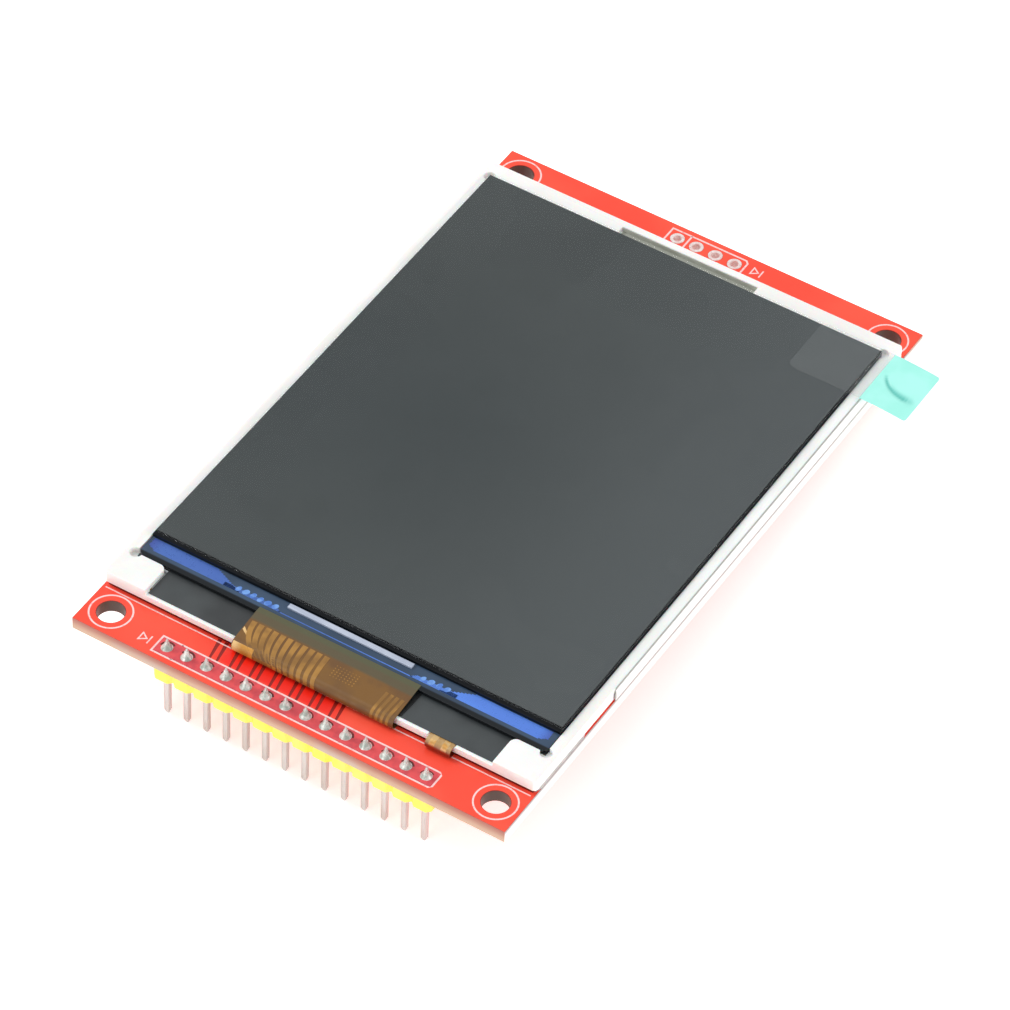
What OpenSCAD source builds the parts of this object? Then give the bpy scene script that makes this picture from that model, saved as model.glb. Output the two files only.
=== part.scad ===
// Small colour display module: a liquid crystal panel and its backlight, taped to a
// circuit board that has a pin header at one end and a memory card socket underneath.
// Millimetres. +X across the board, +Y away from the pin header, +Z out of the screen.
// The origin is the centre of the four mounting holes, on the underside of the board.

/* [Circuit board] */
// Width of the board
board_w = 55.04; // [54:0.01:70]
// Length of the board
board_l = 89.3; // [88.8:0.1:110]
// Thickness of the board
board_t = 1.6; // [1:0.1:2.4]
// Mounting hole diameter
hole_d = 3.2; // [2.2:0.1:3.6]
// Mounting hole centre to the nearest two board edges
hole_inset = 3; // [2.6:0.1:3.4]
// Thickness of the copper plating in and round the pin holes
plating_t = 0.05; // [0.03:0.01:0.1]
// Diameter of a pin's pad
pad_d = 1.7; // [1.5:0.05:2]
// Diameter of a pin hole inside its plating
pin_hole_d = 1.0; // [0.95:0.01:1.1]

/* [Pin header] */
// Number of pins
pin_count = 14; // [4:1:16]
// Distance between pins
pin_pitch = 2.54; // [2.2:0.01:2.54]
// Row of pins to the near edge of the board
pin_row_inset = 2; // [1.6:0.1:2.6]
// Width of a square pin
pin_w = 0.64; // [0.5:0.01:0.66]
// Length of a pin below the header body
pin_below = 6; // [4:0.1:12]
// Length of a pin above the board
pin_above = 1.4; // [1.2:0.1:3]
// Length of the taper at each end of a pin
pin_taper = 0.5; // [0.2:0.05:0.8]
// Height of the header body
header_h = 2.54; // [1.5:0.01:4]
// Depth of the header body
header_d = 2.5; // [2:0.05:2.8]
// Bevel between the segments of the header body
header_bevel = 0.5; // [0.3:0.05:0.7]
// Height of a solder joint above the board
solder_h = 1; // [0.6:0.05:1.1]
// Number of holes for the header at the far end
spare_count = 4; // [2:1:10]

/* [Backlight] */
// Thickness of the foam tape on the board
tape_t = 0.45; // [0.4:0.05:1]
// Foam tape to the sides and ends of the frame
tape_inset = 1.5; // [0.5:0.1:3]
// Foam tape to the nearest flexible circuit
tape_clear = 0.5; // [0.3:0.1:2]
// Thickness of the reflector sheet
reflector_t = 0.1; // [0.05:0.01:0.2]
// Reflector sheet to the outside of the frame
reflector_inset = 0.4; // [0.2:0.1:1]
// Thickness of the light guide
guide_t = 0.7; // [0.6:0.05:1.2]
// Thickness of the diffuser sheet
diffuser_t = 0.06; // [0.04:0.01:0.15]
// Thickness of each prism sheet
prism_t = 0.06; // [0.04:0.01:0.15]
// Thickness of the black rim tape
rim_tape_t = 0.06; // [0.04:0.01:0.12]
// Number of light emitting diodes
led_count = 6; // [2:1:8]
// Width of a light emitting diode
led_w = 3.8; // [2:0.1:4]
// Depth of the diode's window in its white cup
led_window = 0.1; // [0.05:0.01:0.2]
// Depth of a light emitting diode
led_d = 1.3; // [0.8:0.1:1.6]
// Height of a light emitting diode
led_h = 0.6; // [0.4:0.05:0.6]
// Row of diodes to the inside of the rail
led_inset = 0.8; // [0.4:0.1:1.2]
// Thickness of the diodes' flexible strip
led_flex_t = 0.12; // [0.08:0.01:0.16]
// How far the flexible strip laps over the light guide
led_flex_lap = 0.8; // [0.4:0.1:1.2]
// Width of the strip's tail
tail_w = 3.1; // [2:0.1:4]
// Centre of the tail, right of the middle
tail_x = 15.75; // [14.5:0.05:18]

/* [Display frame] */
// Frame side to the board side
frame_side_gap = 0; // [0:0.1:0.5]
// Frame to the near edge of the board
frame_offset = 6; // [5.2:0.1:6.3]
// Length of the frame
frame_l = 78.5; // [76:0.1:79.5]
// Thickness of the wall beside the glass
side_wall = 1.35; // [1.1:0.05:1.8]
// Thickness of the wall beyond the far end of the glass
far_wall = 2.3; // [2:0.1:3]
// Height of the walls above the step that carries the glass
wall_rise = 0.69; // [0.4:0.01:1]
// Width of the step under the edge of the glass
step_w = 0.9; // [0.6:0.05:1.2]
// Length of the shelf in front of the glass
shelf_l = 4.3; // [4:0.1:5.2]
// Thickness of the rail at the near edge
rail_w = 0.9; // [0.7:0.05:1.2]
// Part of the rail that the rim tape leaves bare
rail_bare = 0.4; // [0.3:0.05:0.6]
// Width of each near corner block
block_w = 5.4; // [4.5:0.1:7]
// Rounding of a block's inner corner
block_r = 0.8; // [0.4:0.1:1.5]
// Rounding of the frame's outer corners
frame_r = 0.5; // [0.2:0.1:1]
// Radius of the relief at each corner of the glass
relief_r = 0.7; // [0.4:0.05:0.9]
// Length of the recess in the far wall
recess_l = 18; // [6:0.5:30]
// Depth of the recess into the far wall
recess_d = 1.35; // [0.5:0.05:1.4]

/* [Display cell] */
// Play between the glass and the frame
glass_gap = 0.1; // [0.05:0.01:0.3]
// Thickness of each glass plate
glass_t = 0.43; // [0.3:0.01:0.7]
// Length of the bare ledge of the lower glass
ledge_l = 2.9; // [2.6:0.1:4]
// Bevel at the two near corners of the lower glass
glass_bevel = 0.5; // [0.2:0.1:1]
// Thickness of each polarizer
polarizer_t = 0.13; // [0.08:0.01:0.25]
// Polarizer to the edge of the glass
polarizer_inset = 0.15; // [0.05:0.05:0.4]
// Polarizer to the near edge of the upper glass
polarizer_near = 0.63; // [0.2:0.01:1]
// Picture to the side edges of the glass
picture_side = 1.77; // [1.5:0.01:3]
// Picture to the near edge of the upper glass
picture_near = 2.4; // [1.6:0.1:4]
// Picture to the far edge of the glass
picture_far = 1.7; // [1.3:0.1:2.5]
// Window of the rim tape round the picture, on each side
picture_margin = 0.4; // [0.2:0.05:0.6]
// Length of the driver chip
chip_l = 15.9; // [10:0.1:20]
// Width of the driver chip
chip_w = 0.65; // [0.5:0.05:1.2]
// Height of the driver chip
chip_h = 0.28; // [0.15:0.01:0.4]
// Driver chip to the upper glass
chip_gap = 0.2; // [0.1:0.05:0.5]
// Thickness of the protective film
film_t = 0.05; // [0.03:0.01:0.1]
// How far the film stands over the polarizer's edge
film_lap = 0.3; // [0:0.05:0.4]

/* [Flexible circuit] */
// Width of the flexible circuit
flex_w = 20.6; // [14:0.1:24]
// Thickness of the flexible circuit
flex_t = 0.1; // [0.06:0.01:0.14]
// Centre of the flexible circuit, left of the middle
flex_left = 0.2; // [0:0.05:1]
// Length bonded to the glass ledge
flex_bond = 0.6; // [0.5:0.05:1.2]
// Height of the flexible circuit over the rail
flex_clear = 0.16; // [0.1:0.01:0.3]
// Length of flexible circuit folded back under the display
flex_under = 7; // [4:0.5:10]

/* [Pull tab and side tape] */
// Width of the pull tab
tab_w = 8.2; // [5:0.1:10]
// Thickness of the pull tab
tab_t = 0.06; // [0.04:0.01:0.1]
// Length of the tab on the screen
tab_on = 7.6; // [4:0.1:12]
// Length of the tab beyond the board
tab_off = 6; // [4:0.1:9]
// Far side of the tab to the far end of the film
tab_far = 0; // [0:0.1:2]
// Drop of the tab's free end
tab_drop = 0.5; // [0.2:0.05:0.9]
// Thickness of the side tape
side_tape_t = 0.12; // [0.08:0.01:0.2]
// Bulge of the side tape
side_tape_bulge = 0.15; // [0.05:0.01:0.3]
// Near end of the side tape to the near end of the frame
side_tape_start = 15.7; // [8:0.1:30]
// Length of the side tape
side_tape_l = 55; // [20:0.5:58]
// Length of the tape's rounded start
side_tape_curve = 1.4; // [0.6:0.1:2]

/* [Card socket] */
// Width of the card channel
card_w = 24.3; // [24.1:0.05:25]
// Height of the card channel
card_h = 2.2; // [2.15:0.01:2.6]
// Length of the socket, in the way the card goes in
socket_l = 28.5; // [26:0.1:31]
// Socket's mouth to the side of the board
socket_gap = 0.3; // [0:0.1:2]
// Centre of the socket to the far end of the board
socket_inset = 23.35; // [20.5:0.05:34]
// Thickness of the socket's floor
socket_floor = 0.45; // [0.35:0.01:0.8]
// Thickness of the socket's plastic side rails
rail_t = 1.3; // [0.8:0.05:1.8]
// Length of the socket's rear block
rear_l = 4.5; // [3:0.1:6]
// Sheet metal thickness of the socket shell
shell_t = 0.2; // [0.15:0.01:0.3]
// Length of the shell
shell_l = 25.5; // [22:0.1:25.8]
// Width of a solder foot of the shell
foot_w = 1.6; // [1:0.1:2.5]
// Length of a solder foot of the shell
foot_l = 0.9; // [0.5:0.1:1.5]
// Length of a spring finger in the shell
finger_l = 9; // [5:0.1:12]
// Width of a spring finger in the shell
finger_w = 1.8; // [1:0.1:3]
// Width of the cut round a spring finger
finger_cut = 0.4; // [0.3:0.05:0.6]
// How far a spring finger dips into the card channel
finger_dip = 0.45; // [0.2:0.05:0.7]
// Diameter of the scoop at the mouth of the shell
scoop_d = 9; // [4:0.5:14]
// Diameter of the peep hole in the shell
peep_d = 2.4; // [1:0.1:4]
// Number of card contacts
contact_count = 9; // [4:1:9]
// Distance between card contacts
contact_pitch = 2.5; // [2:0.05:2.5]
// Width of a card contact
contact_w = 0.8; // [0.5:0.05:1.2]
// Sheet metal thickness of a card contact
contact_t = 0.15; // [0.1:0.01:0.2]
// Length of a contact's spring beyond the rear block
contact_reach = 7.5; // [5:0.1:9]
// Height of a contact's spring above the socket's floor
contact_rise = 0.9; // [0.5:0.05:1.4]
// Length of a contact's solder tail
contact_tail = 1.2; // [0.8:0.1:2]
// Diameter of the socket's locating pegs
peg_d = 1.4; // [0.8:0.05:1.6]
// Play of a peg in its hole, on the diameter
peg_play = 0.1; // [0.05:0.01:0.2]

/* [Small parts under the board] */
// Length of a chip resistor or capacitor
chip_part_l = 1.6; // [1:0.1:2]
// Width of a chip resistor or capacitor
chip_part_w = 0.8; // [0.5:0.05:1.2]
// Height of a chip resistor
resistor_h = 0.45; // [0.3:0.05:0.6]
// Height of a chip capacitor
capacitor_h = 0.8; // [0.5:0.05:1.2]
// Length of the metal at each end of a chip part
cap_l = 0.3; // [0.2:0.05:0.4]
// Thickness of the metal round the end of a chip part
cap_t = 0.03; // [0.02:0.01:0.06]
// Number of resistors in line with the pins
resistor_count = 7; // [1:1:9]
// Length of the voltage regulator's body
regulator_l = 4.5; // [4:0.1:5]
// Depth of the voltage regulator's body
regulator_d = 2.5; // [2.2:0.05:3]
// Height of the voltage regulator's body
regulator_h = 1.5; // [1.2:0.05:1.8]
// Length of the backlight transistor's body
transistor_l = 2.9; // [2.6:0.05:3.4]
// Depth of the backlight transistor's body
transistor_d = 1.3; // [1.1:0.05:1.6]
// Height of the backlight transistor's body
transistor_h = 1; // [0.8:0.05:1.2]
// Height of a moulded package above the board
package_gap = 0.08; // [0.04:0.01:0.12]
// Sheet metal thickness of a package's lead
lead_t = 0.13; // [0.1:0.01:0.2]
// Width of a package's lead
lead_w = 0.42; // [0.3:0.01:0.55]
// Reach of a lead beyond its package
lead_reach = 0.85; // [0.6:0.05:1.2]
// Voltage regulator's centre to the nearest mounting hole, along X and from the row of pins
regulator_inset = 6.5; // [6:0.1:8]
// Backlight transistor's centre to the nearest mounting hole, along X
transistor_inset = 8.5; // [6:0.1:10]
// Row of pins to the row of the two packages
package_row = 12.5; // [11.5:0.1:16]

/* [Hidden] */
$fn = 48;

// Overshoot of a cut past the face that it opens
cut = 1;

// Board: edges, holes and the two rows of pins
board_x = board_w / 2;
board_y = board_l / 2;
hole_x = board_x - hole_inset;
hole_y = board_y - hole_inset;
drill_d = pin_hole_d + 2 * plating_t;
row_y = -board_y + pin_row_inset;
spare_y = board_y - pin_row_inset;
header_top = -plating_t;
header_low = header_top - header_h;

// Heights of the display's layers, from the board up
z_reflector = board_t + tape_t;
z_guide = z_reflector + reflector_t;
z_films = z_guide + guide_t;
z_prisms = z_films + diffuser_t;
z_step = z_prisms + 2 * prism_t;
z_cell = z_step + rim_tape_t;
z_array = z_cell + polarizer_t;
z_ledge = z_array + glass_t;
z_upper = z_ledge + glass_t;
z_screen = z_upper + polarizer_t;
z_tab = z_screen + film_t;
z_wall = z_step + wall_rise;

// Frame and glass, seen from above
frame_x = board_x - frame_side_gap;
frame_near = -board_y + frame_offset;
frame_far = frame_near + frame_l;
pocket_x = frame_x - side_wall;
pocket_far = frame_far - far_wall;
glass_x = pocket_x - glass_gap;
glass_near = frame_near + shelf_l;
glass_far = pocket_far - glass_gap;
filter_near = glass_near + ledge_l;
screen_x = glass_x - polarizer_inset;
screen_near = filter_near + polarizer_near;
screen_far = glass_far - polarizer_inset;
shelf_x = frame_x - block_w;

// Light pocket below the step, and what stands in it
light_x = pocket_x - step_w;
light_near = frame_near + rail_w;
light_far = pocket_far - step_w;
sheet_gap = 0.15;
led_near = light_near + led_inset;
led_gap = 0.1;
guide_near = led_near + led_d + led_gap;
guide_far = light_far - sheet_gap;
guide_x = light_x - sheet_gap;
films_near = guide_near + led_flex_lap + sheet_gap;
led_pitch = 2 * guide_x / led_count;

// Memory card socket: its outline, and the place of its contacts
socket_x0 = -board_x + socket_gap;
socket_x1 = socket_x0 + socket_l;
socket_w = card_w + 2 * rail_t;
socket_y = board_y - socket_inset;
shell_gap = 0.03;
shell_w = socket_w + 2 * (shell_t + shell_gap);
shell_low = -(socket_floor + card_h);
rear_x = socket_x1 - rear_l;
contact_y0 = socket_y - (contact_count - 1) * contact_pitch / 2;
slot_play = 0.05;
peg_x = socket_x0 + 4;

// Rows of small parts under the board
resistor_y = row_y + 7.5;
resistor_x0 = -(pin_count - 1) * pin_pitch / 2 + 2 * pin_pitch;
regulator_at = [-hole_x + regulator_inset, row_y + package_row];
transistor_at = [hole_x - transistor_inset, row_y + package_row];
capacitor_row = [regulator_at[0] + 5.5, regulator_at[1]];
capacitor_step = 1.8;
pullup_row = [socket_x1 + 4.5, socket_y - 4];
pullup_step = 2.5;

// ---- shared shapes ----

// Box from its lowest corner to its highest corner
module block(low, high) {
    translate(low) cube(high - low);
}

// Flat sheet between two corners, standing on height z
module sheet(x, near, far, z, t) {
    block([-x, near, z], [x, far, z + t]);
}

// Points along an arc about [c, d], from one angle to another
function arc(c, d, r, from, to, steps = 12) =
    [for (i = [0:steps]) let (a = from + (to - from) * i / steps) [c + r * cos(a), d + r * sin(a)]];

// Unit vector across a path at its point i
function across(path, i) =
    let (
        a = path[max(i - 1, 0)],
        b = path[min(i + 1, len(path) - 1)],
        d = b - a
    )
    [-d[1], d[0]] / norm(d);

// Outline of a strip of thickness t along a path
function strip(path, t) = concat(
    [for (i = [0:len(path) - 1]) path[i] + across(path, i) * t / 2],
    [for (i = [len(path) - 1:-1:0]) path[i] - across(path, i) * t / 2]
);

// Strip whose path lies in the Y-Z plane, w wide along X
module strip_across(path, t, w) {
    rotate([90, 0, 90]) linear_extrude(w, center = true) polygon(strip(path, t));
}

// Strip whose path lies in the X-Z plane, w wide along Y
module strip_along(path, t, w) {
    rotate([90, 0, 0]) linear_extrude(w, center = true) polygon(strip(path, t));
}

// Puts its children at every pin of the main header
module at_pins() {
    for (i = [0:pin_count - 1])
        translate([(i - (pin_count - 1) / 2) * pin_pitch, row_y, 0]) children();
}

// Puts its children at every hole of the spare header
module at_spare_holes() {
    for (i = [0:spare_count - 1])
        translate([(i - (spare_count - 1) / 2) * pin_pitch, spare_y, 0]) children();
}

// Puts its children at the four mounting holes
module at_mounting_holes() {
    for (x = [-hole_x, hole_x], y = [-hole_y, hole_y]) translate([x, y, 0]) children();
}

// Puts its children at the socket's two locating pegs
module at_pegs() {
    for (side = [-1, 1]) translate([peg_x, socket_y + side * (card_w + rail_t) / 2, 0]) children();
}

// ---- circuit board and pin header ----

module circuit_board() {
    color("#e8442f") difference() {
        block([-board_x, -board_y, 0], [board_x, board_y, board_t]);
        translate([0, 0, -cut]) {
            at_mounting_holes() cylinder(d = hole_d, h = board_t + 2 * cut);
            at_pins() cylinder(d = drill_d, h = board_t + 2 * cut);
            at_spare_holes() cylinder(d = drill_d, h = board_t + 2 * cut);
            at_pegs() cylinder(d = peg_d + peg_play, h = board_t + 2 * cut);
        }
    }
}

// Copper lining of one hole, with a pad on both faces
module plated_hole() {
    rotate_extrude() polygon([
        [pin_hole_d / 2, -plating_t], [pad_d / 2, -plating_t], [pad_d / 2, 0],
        [drill_d / 2, 0], [drill_d / 2, board_t], [pad_d / 2, board_t],
        [pad_d / 2, board_t + plating_t], [pin_hole_d / 2, board_t + plating_t]
    ]);
}

module plated_holes() {
    color("#cfcfc4") {
        at_pins() plated_hole();
        at_spare_holes() plated_hole();
    }
}

// Outline of the header body: one bevelled segment for each pin
module header_outline() {
    half = pin_count * pin_pitch / 2;
    deep = header_d / 2;
    shallow = deep - header_bevel;
    front = [for (i = [0:pin_count - 1]) let (x = -half + i * pin_pitch)
        each [[x, -shallow], [x + header_bevel, -deep], [x + pin_pitch - header_bevel, -deep]]];
    back = [for (i = [pin_count:-1:1]) let (x = -half + i * pin_pitch)
        each [[x, shallow], [x - header_bevel, deep], [x - pin_pitch + header_bevel, deep]]];
    polygon(concat(front, [[half, -shallow]], back, [[-half, shallow]]));
}

module header_body() {
    color("#f7e93b") difference() {
        translate([0, row_y, header_low]) linear_extrude(header_h) header_outline();
        at_pins() translate([0, 0, header_low - cut])
            linear_extrude(header_h + 2 * cut) square(pin_w, center = true);
    }
}

// Side view of one pin, tapered at both ends
module pin_profile() {
    low = header_low - pin_below;
    high = board_t + pin_above;
    wide = pin_w / 2;
    tip = pin_w / 4;
    polygon([
        [-tip, low], [tip, low], [wide, low + pin_taper], [wide, high - pin_taper],
        [tip, high], [-tip, high], [-wide, high - pin_taper], [-wide, low + pin_taper]
    ]);
}

module header_pins() {
    color("#d8d4c8") at_pins() intersection() {
        rotate([90, 0, 0]) linear_extrude(pin_w, center = true) pin_profile();
        rotate([90, 0, 90]) linear_extrude(pin_w, center = true) pin_profile();
    }
}

// One solder joint: it fills the plated hole and rises up the pin in a hollow curve
module solder_joint() {
    foot = pad_d / 2 - 0.05;
    neck = pin_w * 0.72;
    base = board_t + plating_t;
    steps = 6;
    rise = [for (i = [0:steps]) let (u = i / steps)
        [neck + (foot - neck) * pow(1 - u, 2.2), base + solder_h * u]];
    difference() {
        rotate_extrude() polygon(concat(
            [[0, header_top], [pin_hole_d / 2, header_top], [pin_hole_d / 2, base]], rise,
            [[0, base + solder_h]]
        ));
        translate([0, 0, header_top - cut])
            linear_extrude(board_t + solder_h + 3 * cut) square(pin_w, center = true);
    }
}

module header_solder() {
    color("#c9ccca") at_pins() solder_joint();
}

// ---- backlight ----

// The two strips of tape that leave room for the flexible circuits between them
module mounting_tape() {
    inner = max(tail_x + tail_w / 2, flex_left + flex_w / 2) + tape_clear;
    color("#f2f2ee") for (side = [0, 1]) mirror([side, 0, 0]) block(
        [inner, frame_near + tape_inset, board_t],
        [frame_x - tape_inset, frame_far - tape_inset, z_reflector]
    );
}

module reflector_sheet() {
    color("#fafafa") sheet(
        frame_x - reflector_inset, frame_near + reflector_inset, frame_far - reflector_inset,
        z_reflector, reflector_t
    );
}

// Rectangle about the middle line, from near to far
module field(x, near, far) {
    translate([-x, near]) square([2 * x, far - near]);
}

// Outline of the frame with rounded outer corners
module frame_outline() {
    field(frame_x - frame_r, frame_near, frame_far);
    field(frame_x, frame_near + frame_r, frame_far - frame_r);
    for (x = [-1, 1], y = [frame_near + frame_r, frame_far - frame_r])
        translate([x * (frame_x - frame_r), y]) circle(frame_r);
}

// What is open above the step: the glass, its corner reliefs, the recess and the shelf
module glass_opening() {
    near = glass_near - glass_gap;
    field(pocket_x, near, pocket_far);
    for (x = [-pocket_x, pocket_x], y = [near, pocket_far]) translate([x, y]) circle(relief_r);
    field(recess_l / 2, pocket_far - cut, pocket_far + recess_d);
    field(shelf_x, frame_near - cut, near + cut);
    // rounds the inner corner of each block
    for (side = [-1, 1]) translate([side * shelf_x, near]) mirror([side < 0 ? 1 : 0, 0]) difference() {
        translate([-cut, -block_r]) square([block_r + cut, block_r + cut]);
        translate([block_r, -block_r]) circle(block_r);
        translate([block_r, -block_r - cut]) square([cut, block_r + 2 * cut]);
    }
}

module backlight_frame() {
    tail_play = 0.15;
    color("#ffffff") difference() {
        translate([0, 0, z_guide]) linear_extrude(z_wall - z_guide) frame_outline();
        translate([0, 0, z_step]) linear_extrude(wall_rise + cut) glass_opening();
        translate([0, 0, z_guide - cut]) linear_extrude(z_step - z_guide + cut)
            field(light_x, light_near, light_far);
        // notch in the rail for the tail of the diodes' strip
        block(
            [tail_x - tail_w / 2 - tail_play, frame_near - cut, z_films],
            [tail_x + tail_w / 2 + tail_play, light_near + cut, z_wall + cut]
        );
    }
}

module light_guide() {
    color("#dff0f5") sheet(guide_x, guide_near, guide_far, z_guide, guide_t);
}

// White cups with a window that faces the light guide, and a foot at each end
module led_packages() {
    rim = 0.1;
    foot = 0.4;
    color("#fff6c8") for (i = [0:led_count - 1])
        translate([(i - (led_count - 1) / 2) * led_pitch, led_near, z_films - led_h]) difference() {
            block([-led_w / 2, 0, 0], [led_w / 2, led_d, led_h]);
            block(
                [-led_w / 2 + foot, led_d - led_window, rim],
                [led_w / 2 - foot, led_d + cut, led_h - rim]
            );
            // steps that leave room for the solder at the feet
            for (x = [-led_w / 2, led_w / 2]) translate([x, 0, 0])
                cube([foot, foot, 2 * (led_h - rim)], center = true);
        }
}

// Flexible strip on top of the diodes; its tail folds round the rail onto the board
module led_flex() {
    top = z_films + led_flex_t / 2;
    low = board_t + led_flex_t / 2;
    bend_r = (top - low) / 2;
    bend_y = frame_near - 0.15;
    color("#d9a441") {
        sheet(guide_x - 1, light_near + sheet_gap, guide_near + led_flex_lap, z_films, led_flex_t);
        translate([tail_x, 0, 0]) strip_across(
            concat(
                [[light_near + sheet_gap + led_flex_lap, top]],
                arc(bend_y, (top + low) / 2, bend_r, 90, 270),
                [[frame_near + 3, low]]
            ),
            led_flex_t, tail_w
        );
    }
}

module diffuser_sheet() {
    color("#f4f6f8") sheet(guide_x, films_near, guide_far, z_films, diffuser_t);
}

module lower_prism_sheet() {
    color("#e4ecf2") sheet(guide_x, films_near, guide_far, z_prisms, prism_t);
}

module upper_prism_sheet() {
    color("#dde6ee") sheet(guide_x, films_near, guide_far, z_prisms + prism_t, prism_t);
}

// Black tape on the step and over the diodes, open round the picture
module rim_tape() {
    color("#3c4043") translate([0, 0, z_step]) linear_extrude(rim_tape_t) difference() {
        union() {
            field(glass_x, glass_near, glass_far);
            field(shelf_x - sheet_gap, frame_near + rail_bare, glass_near + cut);
        }
        field(
            glass_x - picture_side + picture_margin, filter_near + picture_near - picture_margin,
            glass_far - picture_far + picture_margin
        );
    }
}

// ---- display cell ----

module lower_polarizer() {
    color("#3a4042") sheet(screen_x, screen_near, screen_far, z_cell, polarizer_t);
}

module array_glass() {
    color("#1d2f78") translate([0, 0, z_array]) linear_extrude(glass_t) polygon([
        [-glass_x, glass_far], [-glass_x, glass_near + glass_bevel],
        [-glass_x + glass_bevel, glass_near], [glass_x - glass_bevel, glass_near],
        [glass_x, glass_near + glass_bevel], [glass_x, glass_far]
    ]);
}

module colour_filter_glass() {
    color("#20262b") sheet(glass_x, filter_near, glass_far, z_ledge, glass_t);
}

module upper_polarizer() {
    color("#545b5b") sheet(screen_x, screen_near, screen_far, z_upper, polarizer_t);
}

module driver_chip() {
    far = filter_near - chip_gap;
    color("#d6d8ee") block([-chip_l / 2, far - chip_w, z_ledge], [chip_l / 2, far, z_ledge + chip_h]);
}

// Flexible circuit: bonded to the ledge, over the rail, and folded back under the display
module display_flex() {
    top = z_ledge + flex_t / 2;
    over = z_cell + flex_clear;
    low = board_t + flex_t / 2;
    bend_r = (over - low) / 2;
    bend_y = frame_near + 0.1;
    color("#a8803c") translate([-flex_left, 0, 0]) strip_across(
        concat(
            [[glass_near + flex_bond, top], [glass_near - flex_t, top]],
            arc(bend_y, (over + low) / 2, bend_r, 90, 270),
            [[frame_near + flex_under, low]]
        ),
        flex_t, flex_w
    );
}

module protective_film() {
    color("#dfe6ea") sheet(
        screen_x + film_lap, screen_near - film_lap, screen_far + film_lap, z_screen, film_t
    );
}

// Pull tab: flat on the film, then bent gently down past the side of the board
module pull_tab() {
    start = screen_x - tab_on;
    edge = screen_x + film_lap;
    end = board_x + tab_off;
    top = z_tab + tab_t / 2;
    steps = 8;
    droop = [for (i = [0:steps]) let (u = i / steps)
        [edge + (end - edge) * u, top - tab_drop * u * u]];
    color("#7fe8cf") translate([0, screen_far + film_lap - tab_far - tab_w / 2, 0])
        strip_along(concat([[start, top]], droop), tab_t, tab_w);
}

// Side tape: a strip down the right side of the frame, bulging over the board's edge
module side_tape() {
    near = frame_near + side_tape_start;
    low = board_t + 0.1;
    high = z_wall;
    mid = (low + high) / 2;
    steps = 8;
    bulge = [for (i = [0:steps]) let (u = i / steps)
        [frame_x + side_tape_t / 2 + side_tape_bulge * sin(180 * u), high + (low - high) * u]];
    color("#f4f4f2") intersection() {
        translate([0, near + side_tape_l / 2, 0]) strip_along(bulge, side_tape_t, side_tape_l);
        // rounded start: an ellipse-like outline seen from the side
        translate([frame_x - cut, 0, 0]) rotate([90, 0, 90]) linear_extrude(4 * cut) union() {
            translate([near + side_tape_curve, low - cut])
                square([side_tape_l, high - low + 2 * cut]);
            translate([near + side_tape_curve, mid]) intersection() {
                circle(side_tape_curve);
                square([2 * side_tape_curve, high - low + 2 * cut], center = true);
            }
        }
    }
}

// ---- memory card socket ----

// Puts its children at each contact of the card socket
module at_contacts() {
    for (i = [0:contact_count - 1]) translate([0, contact_y0 + i * contact_pitch, 0]) children();
}

// Plastic base: floor, side rails and rear block, with a slot for each contact
module card_socket_base() {
    floor_x0 = rear_x - contact_reach - 2;
    y0 = socket_y - socket_w / 2;
    y1 = socket_y + socket_w / 2;
    color("#2b2b2d") {
        difference() {
            union() {
                block([floor_x0, y0, -socket_floor], [socket_x1, y1, 0]);
                block([rear_x, y0, shell_low], [socket_x1, y1, 0]);
                for (y = [y0, y1 - rail_t])
                    block([socket_x0, y, shell_low], [socket_x1, y + rail_t, 0]);
            }
            at_contacts() {
                block(
                    [rear_x - contact_reach - 1, -contact_w / 2 - slot_play, -socket_floor - cut],
                    [rear_x, contact_w / 2 + slot_play, cut]
                );
                block(
                    [rear_x - cut, -contact_w / 2 - slot_play, -contact_t],
                    [socket_x1 + cut, contact_w / 2 + slot_play, cut]
                );
            }
            // pocket that lightens the rear block
            block(
                [rear_x + 1.2, y0 + 2.5, shell_low - cut],
                [socket_x1 - 1.2, y1 - 2.5, shell_low + 0.6]
            );
        }
        at_pegs() cylinder(d = peg_d, h = board_t - 0.3);
    }
}

// Puts its children at the root of each spring finger, in the plane of the cover
module at_fingers() {
    for (side = [-1, 1]) translate([socket_x0 + 6, side * card_w / 4, shell_low - shell_t]) children();
}

// Opening in the cover round one spring finger
module finger_slot() {
    translate([0, -finger_w / 2 - finger_cut, -cut])
        cube([finger_l + finger_cut, finger_w + 2 * finger_cut, shell_t + 2 * cut]);
}

// One spring finger: it dips into the card channel and turns out again at its tip
module spring_finger() {
    mid = shell_t / 2;
    strip_along(
        [
            [-finger_cut, mid], [finger_l * 0.12, mid],
            [finger_l * 0.72, mid + finger_dip], [finger_l * 0.82, mid + finger_dip],
            [finger_l, mid + finger_dip * 0.5]
        ],
        shell_t, finger_w
    );
}

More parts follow.
